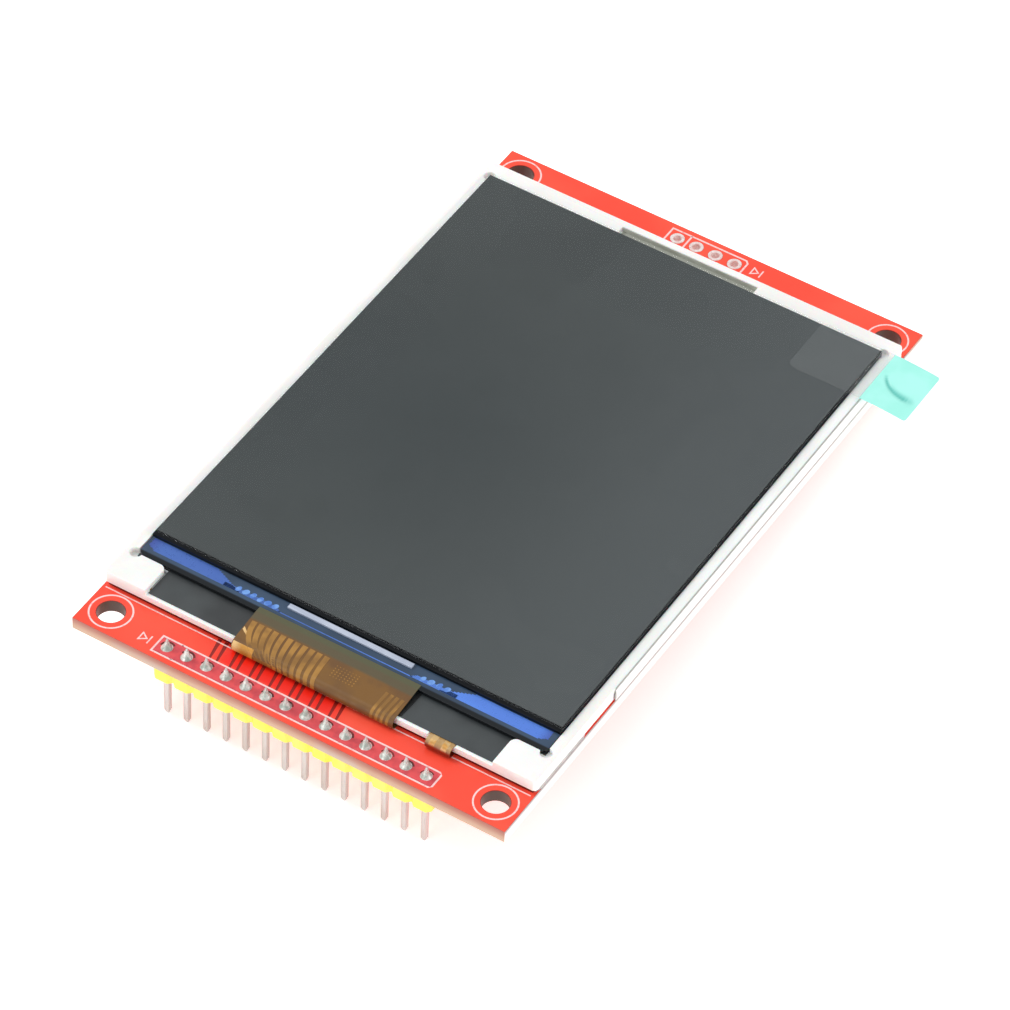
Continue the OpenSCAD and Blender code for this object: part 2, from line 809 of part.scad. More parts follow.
// Folded sheet metal cover with side walls, solder feet and two spring fingers
module card_socket_shell() {
    y = shell_w / 2;
    low = shell_low - shell_t;
    color("#c8cacb") translate([0, socket_y, 0]) {
        at_fingers() spring_finger();
        difference() {
            union() {
                block([socket_x0, -y, low], [socket_x0 + shell_l, y, shell_low]);
                for (side = [-1, 1]) {
                    inner = side * (y - shell_t);
                    block(
                        [socket_x0, min(inner, side * y), low],
                        [socket_x0 + shell_l, max(inner, side * y), 0]
                    );
                    for (x = [socket_x0 + 1.5, socket_x0 + shell_l - 1.5 - foot_w]) {
                        tip = side * (y + foot_l);
                        block([x, min(inner, tip), -shell_t], [x + foot_w, max(inner, tip), 0]);
                    }
                }
            }
            at_fingers() finger_slot();
            // round hole in the middle and a scoop at the mouth, where the card is pushed
            translate([socket_x0 + shell_l * 0.65, 0, low - cut])
                cylinder(d = peep_d, h = shell_t + 2 * cut);
            translate([socket_x0, 0, low - cut]) cylinder(d = scoop_d, h = shell_t + 2 * cut);
        }
    }
}

// Spring contacts: tail on the board, through the rear block, and up into the channel
module card_contacts() {
    t = contact_t;
    tip = rear_x - contact_reach;
    path = [
        [socket_x1 + contact_tail, -t / 2], [rear_x - 0.4, -t / 2],
        [tip + 2.4, -socket_floor - contact_rise * 0.85],
        [tip + 1.5, -socket_floor - contact_rise],
        [tip, -socket_floor - 0.2]
    ];
    color("#d9b65c") at_contacts() strip_along(path, t, contact_w);
}

// ---- small parts under the board ----

// Moulded package with sloping sides, standing off the board by the package gap
module package(l, d, h) {
    draft = 0.12;
    low = -h;
    high = -package_gap;
    mid = -h / 2;
    intersection() {
        rotate([90, 0, 0]) linear_extrude(d, center = true) polygon([
            [-l / 2 + draft, low], [l / 2 - draft, low], [l / 2, mid], [l / 2 - draft, high],
            [-l / 2 + draft, high], [-l / 2, mid]
        ]);
        rotate([90, 0, 90]) linear_extrude(l, center = true) polygon([
            [-d / 2 + draft, low], [d / 2 - draft, low], [d / 2, mid], [d / 2 - draft, high],
            [-d / 2 + draft, high], [-d / 2, mid]
        ]);
    }
}

// Gull wing lead: from the side of a package of depth d and height h down to the board
module lead(d, h, w) {
    mid = -h / 2;
    foot = -lead_t / 2;
    strip_across(
        [
            [d / 2, mid], [d / 2 + lead_reach * 0.3, mid],
            [d / 2 + lead_reach * 0.5, foot], [d / 2 + lead_reach, foot]
        ],
        lead_t, w
    );
}

module voltage_regulator() {
    color("#242426") translate(concat(regulator_at, [0])) package(regulator_l, regulator_d, regulator_h);
}

module backlight_transistor() {
    color("#242426") translate(concat(transistor_at, [0]))
        package(transistor_l, transistor_d, transistor_h);
}

module package_leads() {
    color("#cfd1d2") {
        translate(concat(regulator_at, [0])) {
            for (x = [-1, 0, 1]) translate([x * regulator_l / 3, 0, 0]) lead(regulator_d, regulator_h, lead_w);
            rotate([0, 0, 180]) lead(regulator_d, regulator_h, regulator_l / 2.5);
        }
        translate(concat(transistor_at, [0])) {
            for (x = [-1, 1]) translate([x * transistor_l / 3, 0, 0])
                lead(transistor_d, transistor_h, lead_w);
            rotate([0, 0, 180]) lead(transistor_d, transistor_h, lead_w);
        }
    }
}

// Ceramic body of a chip part of height h, lying along X
module chip_core(h) {
    block(
        [-chip_part_l / 2 + cap_t, -chip_part_w / 2 + cap_t, -h + cap_t],
        [chip_part_l / 2 - cap_t, chip_part_w / 2 - cap_t, -cap_t]
    );
}

// The two metal ends of a chip part
module chip_ends(h) {
    for (side = [-1, 1]) mirror([side < 0 ? 1 : 0, 0, 0]) difference() {
        block(
            [chip_part_l / 2 - cap_l, -chip_part_w / 2, -h],
            [chip_part_l / 2, chip_part_w / 2, 0]
        );
        chip_core(h);
    }
}

// Puts its children at each resistor: one row in line with the pins, one by the socket
module at_resistors() {
    for (i = [0:resistor_count - 1])
        translate([resistor_x0 + i * pin_pitch, resistor_y, 0]) rotate([0, 0, 90]) children();
    for (i = [0:3]) translate([pullup_row[0], pullup_row[1] + i * pullup_step, 0]) children();
}

// Puts its children at each capacitor, beside the regulator and beside the transistor
module at_capacitors() {
    for (i = [0:1])
        translate([capacitor_row[0], capacitor_row[1] + i * capacitor_step, 0]) children();
    translate([transistor_at[0] - 5, transistor_at[1], 0]) children();
}

module resistors() {
    color("#1f2022") at_resistors() chip_core(resistor_h);
}

module capacitors() {
    color("#b08a5c") at_capacitors() chip_core(capacitor_h);
}

module chip_end_metal() {
    color("#cfd1d2") {
        at_resistors() chip_ends(resistor_h);
        at_capacitors() chip_ends(capacitor_h);
    }
}

circuit_board();
plated_holes();
header_body();
header_pins();
header_solder();
mounting_tape();
reflector_sheet();
backlight_frame();
light_guide();
led_packages();
led_flex();
diffuser_sheet();
lower_prism_sheet();
upper_prism_sheet();
rim_tape();
lower_polarizer();
array_glass();
colour_filter_glass();
upper_polarizer();
driver_chip();
display_flex();
protective_film();
pull_tab();
side_tape();
card_socket_base();
card_socket_shell();
card_contacts();
voltage_regulator();
backlight_transistor();
package_leads();
resistors();
capacitors();
chip_end_metal();
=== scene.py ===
"""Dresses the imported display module: fine pieces, finishes, floor, light and camera."""
import math
import random

import bmesh
import bpy
from bpy.props import FloatProperty, FloatVectorProperty, IntProperty, PointerProperty
from mathutils import Matrix, Vector


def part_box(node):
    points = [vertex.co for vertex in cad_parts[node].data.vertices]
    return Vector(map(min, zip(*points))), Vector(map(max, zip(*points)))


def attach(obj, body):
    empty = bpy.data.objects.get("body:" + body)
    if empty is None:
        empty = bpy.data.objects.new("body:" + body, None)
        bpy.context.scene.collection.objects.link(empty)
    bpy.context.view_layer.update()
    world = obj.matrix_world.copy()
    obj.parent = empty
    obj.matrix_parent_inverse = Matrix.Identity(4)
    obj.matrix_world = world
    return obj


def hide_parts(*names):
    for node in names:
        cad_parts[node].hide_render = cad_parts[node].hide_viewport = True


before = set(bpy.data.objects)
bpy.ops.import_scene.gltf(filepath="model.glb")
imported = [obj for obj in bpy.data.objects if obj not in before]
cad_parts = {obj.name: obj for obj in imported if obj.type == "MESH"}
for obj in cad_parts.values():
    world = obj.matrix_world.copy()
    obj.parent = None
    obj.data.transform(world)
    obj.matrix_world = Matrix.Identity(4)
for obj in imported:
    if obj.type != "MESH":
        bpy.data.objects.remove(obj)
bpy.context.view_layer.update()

bl_info = {
    "name": "Display Module Dresser",
    "version": (1, 0, 0),
    "blender": (4, 5, 0),
    "location": "3D View > Sidebar > Display Module",
    "description": "Adds the fine pieces and finishes of a small display module",
    "category": "Object",
}

MM = 0.001
BOARD_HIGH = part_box("circuit_board")[1]
BOARD_TOP = BOARD_HIGH.z
PINS_LOW, PINS_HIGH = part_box("header_pins")
PIN_COUNT = 14
PIN_WIDTH = 0.64 * MM
PITCH = (PINS_HIGH.x - PINS_LOW.x - PIN_WIDTH) / (PIN_COUNT - 1)
PIN_X = [(i - (PIN_COUNT - 1) / 2) * PITCH for i in range(PIN_COUNT)]
ROW_Y = (PINS_LOW.y + PINS_HIGH.y) / 2
SPARE_X = [(i - 1.5) * PITCH for i in range(4)]
SPARE_Y = -ROW_Y
# the pins whose tracks run on to the resistors and the socket
TRACK_PINS = PIN_X[2:9]
HOLE_INSET = 3 * MM
HOLES = [
    (x * (BOARD_HIGH.x - HOLE_INSET), y * (BOARD_HIGH.y - HOLE_INSET))
    for x in (-1, 1) for y in (-1, 1)
]
FRAME_LOW, FRAME_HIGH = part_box("backlight_frame")
GLASS_LOW, GLASS_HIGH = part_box("array_glass")
FILTER_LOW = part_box("colour_filter_glass")[0]
SCREEN_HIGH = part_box("upper_polarizer")[1]
CHIP_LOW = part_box("driver_chip")[0]
RIM_LOW, RIM_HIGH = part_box("rim_tape")
FLEX_LOW, FLEX_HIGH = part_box("display_flex")
LED_LOW, LED_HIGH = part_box("led_flex")
TAB_LOW, TAB_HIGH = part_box("pull_tab")
SHELL_LOW, SHELL_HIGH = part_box("card_socket_shell")
BASE_LOW, BASE_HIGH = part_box("card_socket_base")

# how far a printed or laid-on layer reaches into what it lies on
SUNK = 0.002 * MM

# sockets of the Mix node when it mixes colours
MIX_A, MIX_B, MIX_OUT = 6, 7, 2


def linear(hex_colour):
    """An sRGB hex colour as linear red, green, blue and alpha."""
    parts = [int(hex_colour[i:i + 2], 16) / 255 for i in (1, 3, 5)]
    return [c / 12.92 if c <= 0.04045 else ((c + 0.055) / 1.055) ** 2.4 for c in parts] + [1.0]


# ---- settings that a user may change ----

def colour_setting(name, description, hex_colour):
    return FloatVectorProperty(
        name=name, description=description, size=4, subtype="COLOR",
        default=linear(hex_colour), min=0, max=1,
    )


def length_setting(name, description, mm, most=100):
    return FloatProperty(
        name=name, description=description, default=mm * MM, min=0, max=most * MM,
        subtype="DISTANCE", unit="LENGTH", precision=5,
    )


class BoardLook(bpy.types.PropertyGroup):
    mask: colour_setting("Mask", "Solder mask where it covers copper", "#f94a34")
    bare_mask: colour_setting("Bare mask", "Solder mask where it covers bare laminate", "#8e130d")
    field: colour_setting("Header field", "Solder mask between the pins of the header", "#e64f54")
    laminate: colour_setting("Laminate", "Milled edge of the glass fibre laminate", "#cba68c")
    # painted light: the long edges' near-white stands in for the strong light on them
    lit_long_edge: colour_setting("Lit long edge", "Long edge of the laminate, painted nearly white as lit", "#fcf9f5")
    # painted shade: the dark hole wall stands in for the shade inside the holes
    hole: colour_setting("Hole wall", "Wall of a mounting hole", "#4f2a17")
    legend: colour_setting("Legend", "Printed outlines", "#fbd3d2")
    pour_height: length_setting("Copper height", "Thickness of copper and mask", 0.03, 0.1)
    pour_margin: length_setting("Copper margin", "Copper to the board's edge", 0.02, 2)
    legend_height: length_setting("Legend height", "Thickness of the printed ink", 0.015, 0.1)
    legend_line: length_setting("Legend line", "Width of a printed line", 0.22, 1)
    gap: length_setting("Track gap", "Bare gap beside a track", 0.42, 1)


class HeaderLook(bpy.types.PropertyGroup):
    plastic: colour_setting("Plastic", "Moulded header body", "#f8ea66")
    pin: colour_setting("Pin", "Plated pin", "#cdc9c7")
    solder: colour_setting("Solder", "Solder joints", "#dde4de")
    edge: length_setting("Edge rounding", "Rounding of the moulded edges", 0.08, 0.4)
    rise: length_setting("Solder rise", "Height of a joint above its pad", 1.0, 1.2)


class DisplayLook(bpy.types.PropertyGroup):
    plastic: colour_setting("Frame plastic", "White moulded frame", "#fbfbf9")
    screen: colour_setting("Screen", "Polarizer over the unlit cell", "#404647")
    ledge: colour_setting("Ledge", "Bare glass ledge", "#3c5068")
    lines: colour_setting("Ledge lines", "Metal lines on the ledge", "#4c72bd")
    chip: colour_setting("Driver chip", "Polished back of the driver chip", "#cbd4e6")
    rim: colour_setting("Rim tape", "Black tape in front of the glass", "#2c3032")
    edge: length_setting("Edge rounding", "Rounding of the frame's edges", 0.12, 0.5)
    fan_lines: IntProperty(
        name="Fan lines", description="Metal lines in each band on the ledge", default=11,
        min=4, max=14,
    )


class FlexLook(bpy.types.PropertyGroup):
    film: colour_setting("Film", "Polyimide cover film", "#7a5524")
    copper: colour_setting("Copper", "Copper tracks seen through the film", "#a87a36")
    bond: colour_setting("Bonding band", "Bare end that is bonded to the glass", "#5a5039")
    area: colour_setting("Copper area", "Wide copper in the corner of the film", "#c98f38")
    gold: colour_setting("Gold", "Tail of the diodes' strip", "#bf9f72")
    thickness: length_setting("Thickness", "Thickness of the flexible circuit", 0.1, 0.2)
    relief: length_setting("Track relief", "Height of a track under the film", 0.02, 0.1)


class TabLook(bpy.types.PropertyGroup):
    mint: colour_setting("Mint", "Free part of the pull tab", "#aef9ee")
    clear: colour_setting("Clear", "Part of the pull tab on the screen", "#b4babb")
    # painted shade: the crease's darker teal stands in for the shade in the fold
    fold: colour_setting("Fold", "Crease of the pull tab", "#5fc4b8")
    tape: colour_setting("Side tape", "White tape down the side", "#f6f5f3")
    crease: length_setting("Crease depth", "Depth of the tab's crease", 0.22, 1)


class SocketLook(bpy.types.PropertyGroup):
    plastic: colour_setting("Plastic", "Moulded base of the socket", "#26262a")
    steel: colour_setting("Steel", "Folded cover", "#cfd1d2")
    gold: colour_setting("Gold", "Plated contacts", "#e0bb62")
    edge: length_setting("Edge rounding", "Rounding of the moulded edges", 0.08, 0.4)


class StageLook(bpy.types.PropertyGroup):
    floor: colour_setting("Floor", "Pale matt floor", "#fbfbfa")
    eye: FloatVectorProperty(
        name="Camera place", description="Place of the camera", size=3, subtype="TRANSLATION",
        unit="LENGTH", default=(0.22988, -0.39405, 0.4698),
    )
    lens: FloatProperty(
        name="Lens", description="Focal length for a 36 mm sensor", default=210.7, min=20, max=400,
        unit="CAMERA",
    )
    sky: FloatProperty(
        name="Sky", description="Strength of the even studio light", default=0.62, min=0, max=3,
    )
    glow: FloatProperty(
        name="Floor glow", description="Light of the floor itself, as of a light table",
        default=0.5, min=0, max=2,
    )


SETTINGS = {
    "module_board": BoardLook, "module_header": HeaderLook, "module_display": DisplayLook,
    "module_flex": FlexLook, "module_tab": TabLook, "module_socket": SocketLook,
    "module_stage": StageLook,
}


# ---- making meshes ----

def settle(obj, material, slot, *replaced):
    """Finish of one piece: its material, its body and what it stands for; the slot argument is not
    used.
    """
    obj.data.materials.clear()
    obj.data.materials.append(material)
    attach(obj, "root")
    if replaced:
        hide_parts(*replaced)
    return obj


def piece(name, mesh, material, slot, *replaced, smooth=30):
    """A new piece from a bmesh or a mesh, smooth except at edges sharper than the angle."""
    if isinstance(mesh, bmesh.types.BMesh):
        data = bpy.data.meshes.new(name)
        bmesh.ops.recalc_face_normals(mesh, faces=mesh.faces)
        mesh.to_mesh(data)
        mesh.free()
        mesh = data
    mesh.name = name
    mesh.shade_smooth()
    mesh.set_sharp_from_angle(angle=math.radians(smooth))
    obj = bpy.data.objects.new(name, mesh)
    bpy.context.scene.collection.objects.link(obj)
    return settle(obj, material, slot, *replaced)


def cleaned(node):
    """The solid of a node as a bmesh, its facets joined and its flat faces made whole."""
    bm = bmesh.new()
    bm.from_mesh(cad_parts[node].data)
    bmesh.ops.remove_doubles(bm, verts=bm.verts, dist=0.002 * MM)
    bmesh.ops.dissolve_limit(
        bm, angle_limit=math.radians(1), verts=bm.verts, edges=bm.edges, delimit=set(),
    )
    return bm


def eased(name, node, radius, material, slot, segments=2, angle=35):
    """A piece that replaces a node: the same solid with its sharp edges rounded."""
    obj = piece(name, cleaned(node), material, slot, node, smooth=180)
    bevel = obj.modifiers.new("Edge", "BEVEL")
    bevel.width = radius
    bevel.segments = segments
    bevel.limit_method = "ANGLE"
    bevel.angle_limit = math.radians(angle)
    bevel.harden_normals = True
    bevel.miter_outer = "MITER_ARC"
    return obj


def dress(node, material, slot):
    """Gives a node that keeps its shape its material."""
    return settle(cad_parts[node], material, slot)


def circle_points(centre, radius, count=48, start=0.0, turn=math.tau):
    return [
        (centre[0] + radius * math.cos(start + turn * i / count),
         centre[1] + radius * math.sin(start + turn * i / count))
        for i in range(count + (turn < math.tau))
    ]


def box_points(x0, y0, x1, y1):
    return [(x0, y0), (x1, y0), (x1, y1), (x0, y1)]


def plate_mesh(name, outlines, low, high):
    """A flat plate from closed outlines; an outline inside another one is a hole."""
    curve = bpy.data.curves.new(name, "CURVE")
    curve.dimensions = "2D"
    curve.fill_mode = "BOTH"
    curve.extrude = (high - low) / 2
    for outline in outlines:
        spline = curve.splines.new("POLY")
        spline.points.add(len(outline) - 1)
        for point, (x, y) in zip(spline.points, outline):
            point.co = (x, y, 0, 1)
        spline.use_cyclic_u = True
    holder = bpy.data.objects.new(name, curve)
    bpy.context.scene.collection.objects.link(holder)
    bpy.context.view_layer.update()
    graph = bpy.context.evaluated_depsgraph_get()
    mesh = bpy.data.meshes.new_from_object(holder.evaluated_get(graph))
    bpy.data.objects.remove(holder)
    bpy.data.curves.remove(curve)
    for vertex in mesh.vertices:
        vertex.co.z += (low + high) / 2
    bm = bmesh.new()
    bm.from_mesh(mesh)
    bmesh.ops.remove_doubles(bm, verts=bm.verts, dist=0.0005 * MM)
    bm.to_mesh(mesh)
    bm.free()
    return mesh


def flat(x, y, h):
    """Place on a flat surface: the height is simply Z."""
    return Vector((x, y, h))


def skin(bm, rings, closed=False):
    """Joins rings of points into a solid: round in a loop, or with a face at each end."""
    count = len(rings[0])
    following = rings[1:] + rings[:1] if closed else rings[1:]
    for a, b in zip(rings, following):
        for j in range(count):
            bm.faces.new((a[j], a[(j + 1) % count], b[(j + 1) % count], b[j]))
    if not closed:
        bm.faces.new(rings[0])
        bm.faces.new(rings[-1])


def slab(bm, outline, low, high):
    """A flat solid from one outline."""
    skin(bm, [[bm.verts.new((x, y, z)) for x, y in outline] for z in (low, high)])


def raised_line(bm, route, width, low, high, place=flat, closed=False, step=None):
    """A line along a route on a surface, from height low to height high.

    The width is one number, or the widths at its start and at its end.
    """
    width, end_width = width if isinstance(width, tuple) else (width, width)
    route = [Vector((p[0], p[1])) for p in route]
    if step:
        fine = [route[0]]
        for a, b in zip(route, route[1:]):
            parts = max(1, round((b - a).length / step))
            fine += [a.lerp(b, i / parts) for i in range(1, parts + 1)]
        route = fine
    count = len(route)
    rings = []
    for i, p in enumerate(route):
        before = route[i - 1] if (i or closed) else p
        after = route[(i + 1) % count] if (i + 1 < count or closed) else p
        into = (p - before).normalized() if p != before else (after - p).normalized()
        out = (after - p).normalized() if after != p else into
        along = (into + out).normalized()
        side = Vector((-along.y, along.x))
        here = width + (end_width - width) * i / count
        mitre = here / 2 / max(0.5, side.dot(Vector((-out.y, out.x))))
        left, right = p + side * mitre, p - side * mitre
        rings.append([bm.verts.new(place(q.x, q.y, h)) for q, h in (
            (left, low), (right, low), (right, high), (left, high))])
    skin(bm, rings, closed)


def ring_line(bm, centre, radius, width, low, high, count=48):
    raised_line(bm, circle_points(centre, radius, count), width, low, high, closed=True)


def lathe(bm, centre, profile, count=24, squash=None):
    """A turned solid round a vertical axis; the profile is (radius, height) pairs."""
    turns = [math.tau * i / count for i in range(count)]
    reach = [squash(a) if squash else 1 for a in turns]
    rings = []
    for radius, z in profile:
        points = [
            (centre[0] + radius * r * math.cos(a), centre[1] + radius * r * math.sin(a), z)
            for a, r in zip(turns, reach)
        ]
        rings.append([bm.verts.new(point) for point in (points if radius > 0 else points[:1])])
    for a, b in zip(rings, rings[1:]):
        for i in range(count):
            j = (i + 1) % count
            if len(a) == 1 and len(b) > 1:
                bm.faces.new((a[0], b[i], b[j]))
            elif len(b) == 1 and len(a) > 1:
                bm.faces.new((a[i], a[j], b[0]))
            elif len(a) > 1:
                bm.faces.new((a[i], a[j], b[j], b[i]))


class Fold:
    """Centre line of a strip that lies in the Y-Z plane, measured along its length."""

    def __init__(self, points):
        self.points = [Vector(p) for p in points]
        self.reach = [0.0]
        for a, b in zip(self.points, self.points[1:]):
            self.reach.append(self.reach[-1] + (b - a).length)
        self.length = self.reach[-1]

    def at(self, x, s, h):
        """The point at x, s along the strip and h above its centre line."""
        s = min(max(s, 0.0), self.length)
        i = max(k for k, r in enumerate(self.reach[:-1]) if r <= s)
        u = (s - self.reach[i]) / (self.reach[i + 1] - self.reach[i])
        p = self.points[i].lerp(self.points[i + 1], u)
        ways = []
        for k in (i, i + 1):
            before, after = max(k - 1, 0), min(k + 1, len(self.points) - 1)
            ways.append((self.points[after] - self.points[before]).normalized())
        way = ways[0].lerp(ways[1], u).normalized()
        return Vector((x, p.x + way.y * h, p.y - way.x * h))

    def sheet(self, bm, x0, x1, low, high, s0=0.0, s1=None, columns=1):
        """A solid strip between two heights, with a row of points at each bend.

        Its start s0 is one length, or the lengths at x0 and at x1.
        """
        s1 = self.length if s1 is None else s1
        start, slant = (s0[0], s0[1] - s0[0]) if isinstance(s0, tuple) else (s0, 0.0)
        shares = [j / columns for j in range(columns + 1)]
        stops = [r for r in self.reach if max(start, start + slant) < r < s1] + [s1]
        rows = [[(u, start + slant * u) for u in shares]]
        rows += [[(u, s) for u in shares] for s in stops]
        tops, bottoms = (
            [[bm.verts.new(self.at(x0 + (x1 - x0) * u, s, h)) for u, s in row] for row in rows]
            for h in (high, low)
        )
        for layer in (tops, bottoms):
            for a, b in zip(layer, layer[1:]):
                for j in range(columns):
                    bm.faces.new((a[j], a[j + 1], b[j + 1], b[j]))
        for i in range(len(rows) - 1):
            for j in (0, columns):
                bm.faces.new((tops[i][j], tops[i + 1][j], bottoms[i + 1][j], bottoms[i][j]))
        for i in (0, len(rows) - 1):
            for j in range(columns):
                bm.faces.new((tops[i][j], tops[i][j + 1], bottoms[i][j + 1], bottoms[i][j]))


# ---- making materials ----

def add(tree, kind, inputs=None, **properties):
    """Adds a node; an input's value is a number, a colour or the output that feeds it."""
    node = tree.nodes.new("ShaderNode" + kind)
    for name, value in properties.items():
        setattr(node, name, value)
    for name, value in (inputs or {}).items():
        if isinstance(value, bpy.types.NodeSocket):
            tree.links.new(value, node.inputs[name])
        else:
            node.inputs[name].default_value = value
    return node


class Surface:
    """A finish under way: its material, node tree, shader and the place on the object."""

    def __init__(self, name, colour, **shader):
        self.material = bpy.data.materials.new(name)
        self.material.use_nodes = True
        self.tree = self.material.node_tree
        self.tree.nodes.clear()
        values = {"Base Color": colour, **{k.replace("_", " "): v for k, v in shader.items()}}
        self.shader = add(self.tree, "BsdfPrincipled", values)
        add(self.tree, "OutputMaterial", {"Surface": self.shader.outputs[0]})
        self.place = add(self.tree, "TexCoord").outputs["Object"]
        self.colour = colour
        self.material.diffuse_color = tuple(colour)

    def feed(self, name, output):
        """Feeds an input of the shader from a node's output."""
        self.tree.links.new(output, self.shader.inputs[name])

    def patches(self, size_mm, stretch=(1, 1, 1), detail=2.0, low=0.35, high=0.65):
        """Soft patches of a real size, from 0 to 1."""
        place = add(self.tree, "Mapping", {"Vector": self.place, "Scale": stretch}).outputs[0]
        noise = add(self.tree, "TexNoise", {
            "Vector": place, "Scale": 1 / (size_mm * MM), "Detail": detail,
        }).outputs[0]
        return add(self.tree, "MapRange", {
            "Value": noise, "From Min": low, "From Max": high,
        }, interpolation_type="SMOOTHSTEP").outputs[0]

    def tint(self, factor, other):
        """Mixes another colour in by a factor."""
        node = add(self.tree, "Mix", {
            0: factor, MIX_A: self.colour, MIX_B: other,
        }, data_type="RGBA")
        self.colour = node.outputs[MIX_OUT]
        self.feed("Base Color", self.colour)
        return self

    def drift(self, other, size_mm, share=1.0, **kind):
        """Lets the colour drift to another one in soft patches."""
        return self.tint(self.both(self.patches(size_mm, **kind), share), other)

    def rough(self, least, most, size_mm, **kind):
        """Lets the roughness vary between two values in soft patches."""
        spread = add(self.tree, "MapRange", {
            "Value": self.patches(size_mm, **kind), "To Min": least, "To Max": most,
        })
        self.feed("Roughness", spread.outputs[0])
        return self

    def relief(self, height, depth_mm):
        """Turns a height from 0 to 1 into a relief of a real depth."""
        inputs = {"Height": height, "Distance": depth_mm * MM, "Strength": 1.0}
        if self.shader.inputs["Normal"].is_linked:
            inputs["Normal"] = self.shader.inputs["Normal"].links[0].from_socket
        self.feed("Normal", add(self.tree, "Bump", inputs).outputs[0])
        return self

    def grain(self, size_mm, depth_mm, **kind):
        """A fine grain of a real size and depth."""
        return self.relief(self.patches(size_mm, low=0.2, high=0.8, **kind), depth_mm)

    def axis(self, index):
        """Distance along X, Y or Z in metres."""
        return add(self.tree, "SeparateXYZ", {0: self.place}).outputs[index]

    def beyond(self, value, limit, blur=0.02 * MM):
        """0 below a limit and 1 above it, with a soft step."""
        return add(self.tree, "MapRange", {
            "Value": value, "From Min": limit - blur, "From Max": limit + blur,
        }, interpolation_type="SMOOTHSTEP").outputs[0]

    def within(self, value, limit, blur=0.02 * MM):
        """1 below a limit and 0 above it, with a soft step."""
        return add(self.tree, "Math", {
            0: 1.0, 1: self.beyond(value, limit, blur),
        }, operation="SUBTRACT").outputs[0]

    def both(self, one, other):
        """1 where both factors are 1, or a share of one factor."""
        return add(self.tree, "Math", {0: one, 1: other}, operation="MULTIPLY").outputs[0]

    def facing(self, index):
        """How squarely the surface faces along an axis, either way, from 0 to 1."""
        normal = add(self.tree, "NewGeometry").outputs["Normal"]
        turned = add(self.tree, "SeparateXYZ", {0: normal}).outputs[index]
        return add(self.tree, "Math", {0: turned}, operation="ABSOLUTE").outputs[0]

    def size_of(self, index):
        """Distance from the middle of the object along X, Y or Z in metres."""
        return add(self.tree, "Math", {0: self.axis(index)}, operation="ABSOLUTE").outputs[0]


# ---- circuit board ----

HEADER_HALF = PIN_COUNT * PITCH / 2
LEGEND_HALF = 1.22 * MM
RING_RADIUS = 2.42 * MM
RING_LINE = 0.2 * MM
HOLE_RADIUS = 1.6 * MM
PAD_RADIUS = 0.66 * MM
# half sizes of the bare field round the pins
FIELD_X = HEADER_HALF - 0.1 * MM
FIELD_Y = 1.1 * MM


def laminate_milled(look):
    """Glass fibre laminate with solder mask on both faces.

    The short edges are milled, redder towards the top and paler downwards, with faint layers of
    glass cloth. The long edges are painted nearly white, standing in for the strong light on them,
    under a thin grey line that is painted shadow along their top, peach towards the far end. The
    mounting holes' walls are painted dark red-brown, as the shade inside them. The faces show the
    mask, which is dark where there is no copper under it.
    """
    s = Surface("glass_fibre_laminate_milled_and_masked", look.laminate, Roughness=0.5, IOR=1.52)
    s.drift(linear("#b98f76"), 0.2, share=0.3, stretch=(0.1, 0.1, 1), low=0.45, high=0.7)
    s.drift(linear("#c4b0a4"), 6, share=0.7, low=0.5, high=0.62)
    z = s.axis(2)
    # redder towards the top and paler downwards
    s.tint(s.beyond(z, BOARD_TOP / 2 + 0.05 * MM, 0.75 * MM), linear("#a85f50"))
    # painted light: the long edges are painted nearly white, standing in for the strong light on
    # them
    long_side = s.beyond(s.facing(0), 0.7, 0.1)
    s.tint(long_side, look.lit_long_edge)
    # painted shadow: a thin grey line along the top of the long edges, peach towards the far end
    upper_band = s.both(long_side, s.beyond(z, BOARD_TOP - 0.38 * MM, 0.36 * MM))
    s.tint(upper_band, linear("#8f8a8a"))
    far_corner = s.beyond(s.axis(1), BOARD_HIGH.y - 3.4 * MM, 1 * MM)
    s.tint(s.both(upper_band, far_corner), linear("#c0846c"))
    # the holes lie alike in the four quarters of the board, so one of them stands for all
    level = add(s.tree, "VectorMath", {0: s.place, 1: (1, 1, 0)}, operation="MULTIPLY").outputs[0]
    quarter = add(s.tree, "VectorMath", {0: level}, operation="ABSOLUTE").outputs[0]
    hole = add(s.tree, "VectorMath", {
        0: quarter, 1: (*HOLES[-1], 0),
    }, operation="DISTANCE").outputs["Value"]
    # painted shade: the walls of the holes are dark red-brown, as the shade inside them
    s.tint(s.within(hole, HOLE_RADIUS + 0.15 * MM, 0.05 * MM), look.hole)
    s.tint(s.beyond(s.facing(2), 0.7, 0.1), look.bare_mask)
    s.rough(0.36, 0.5, 3)
    return s.grain(0.25, 0.005).material


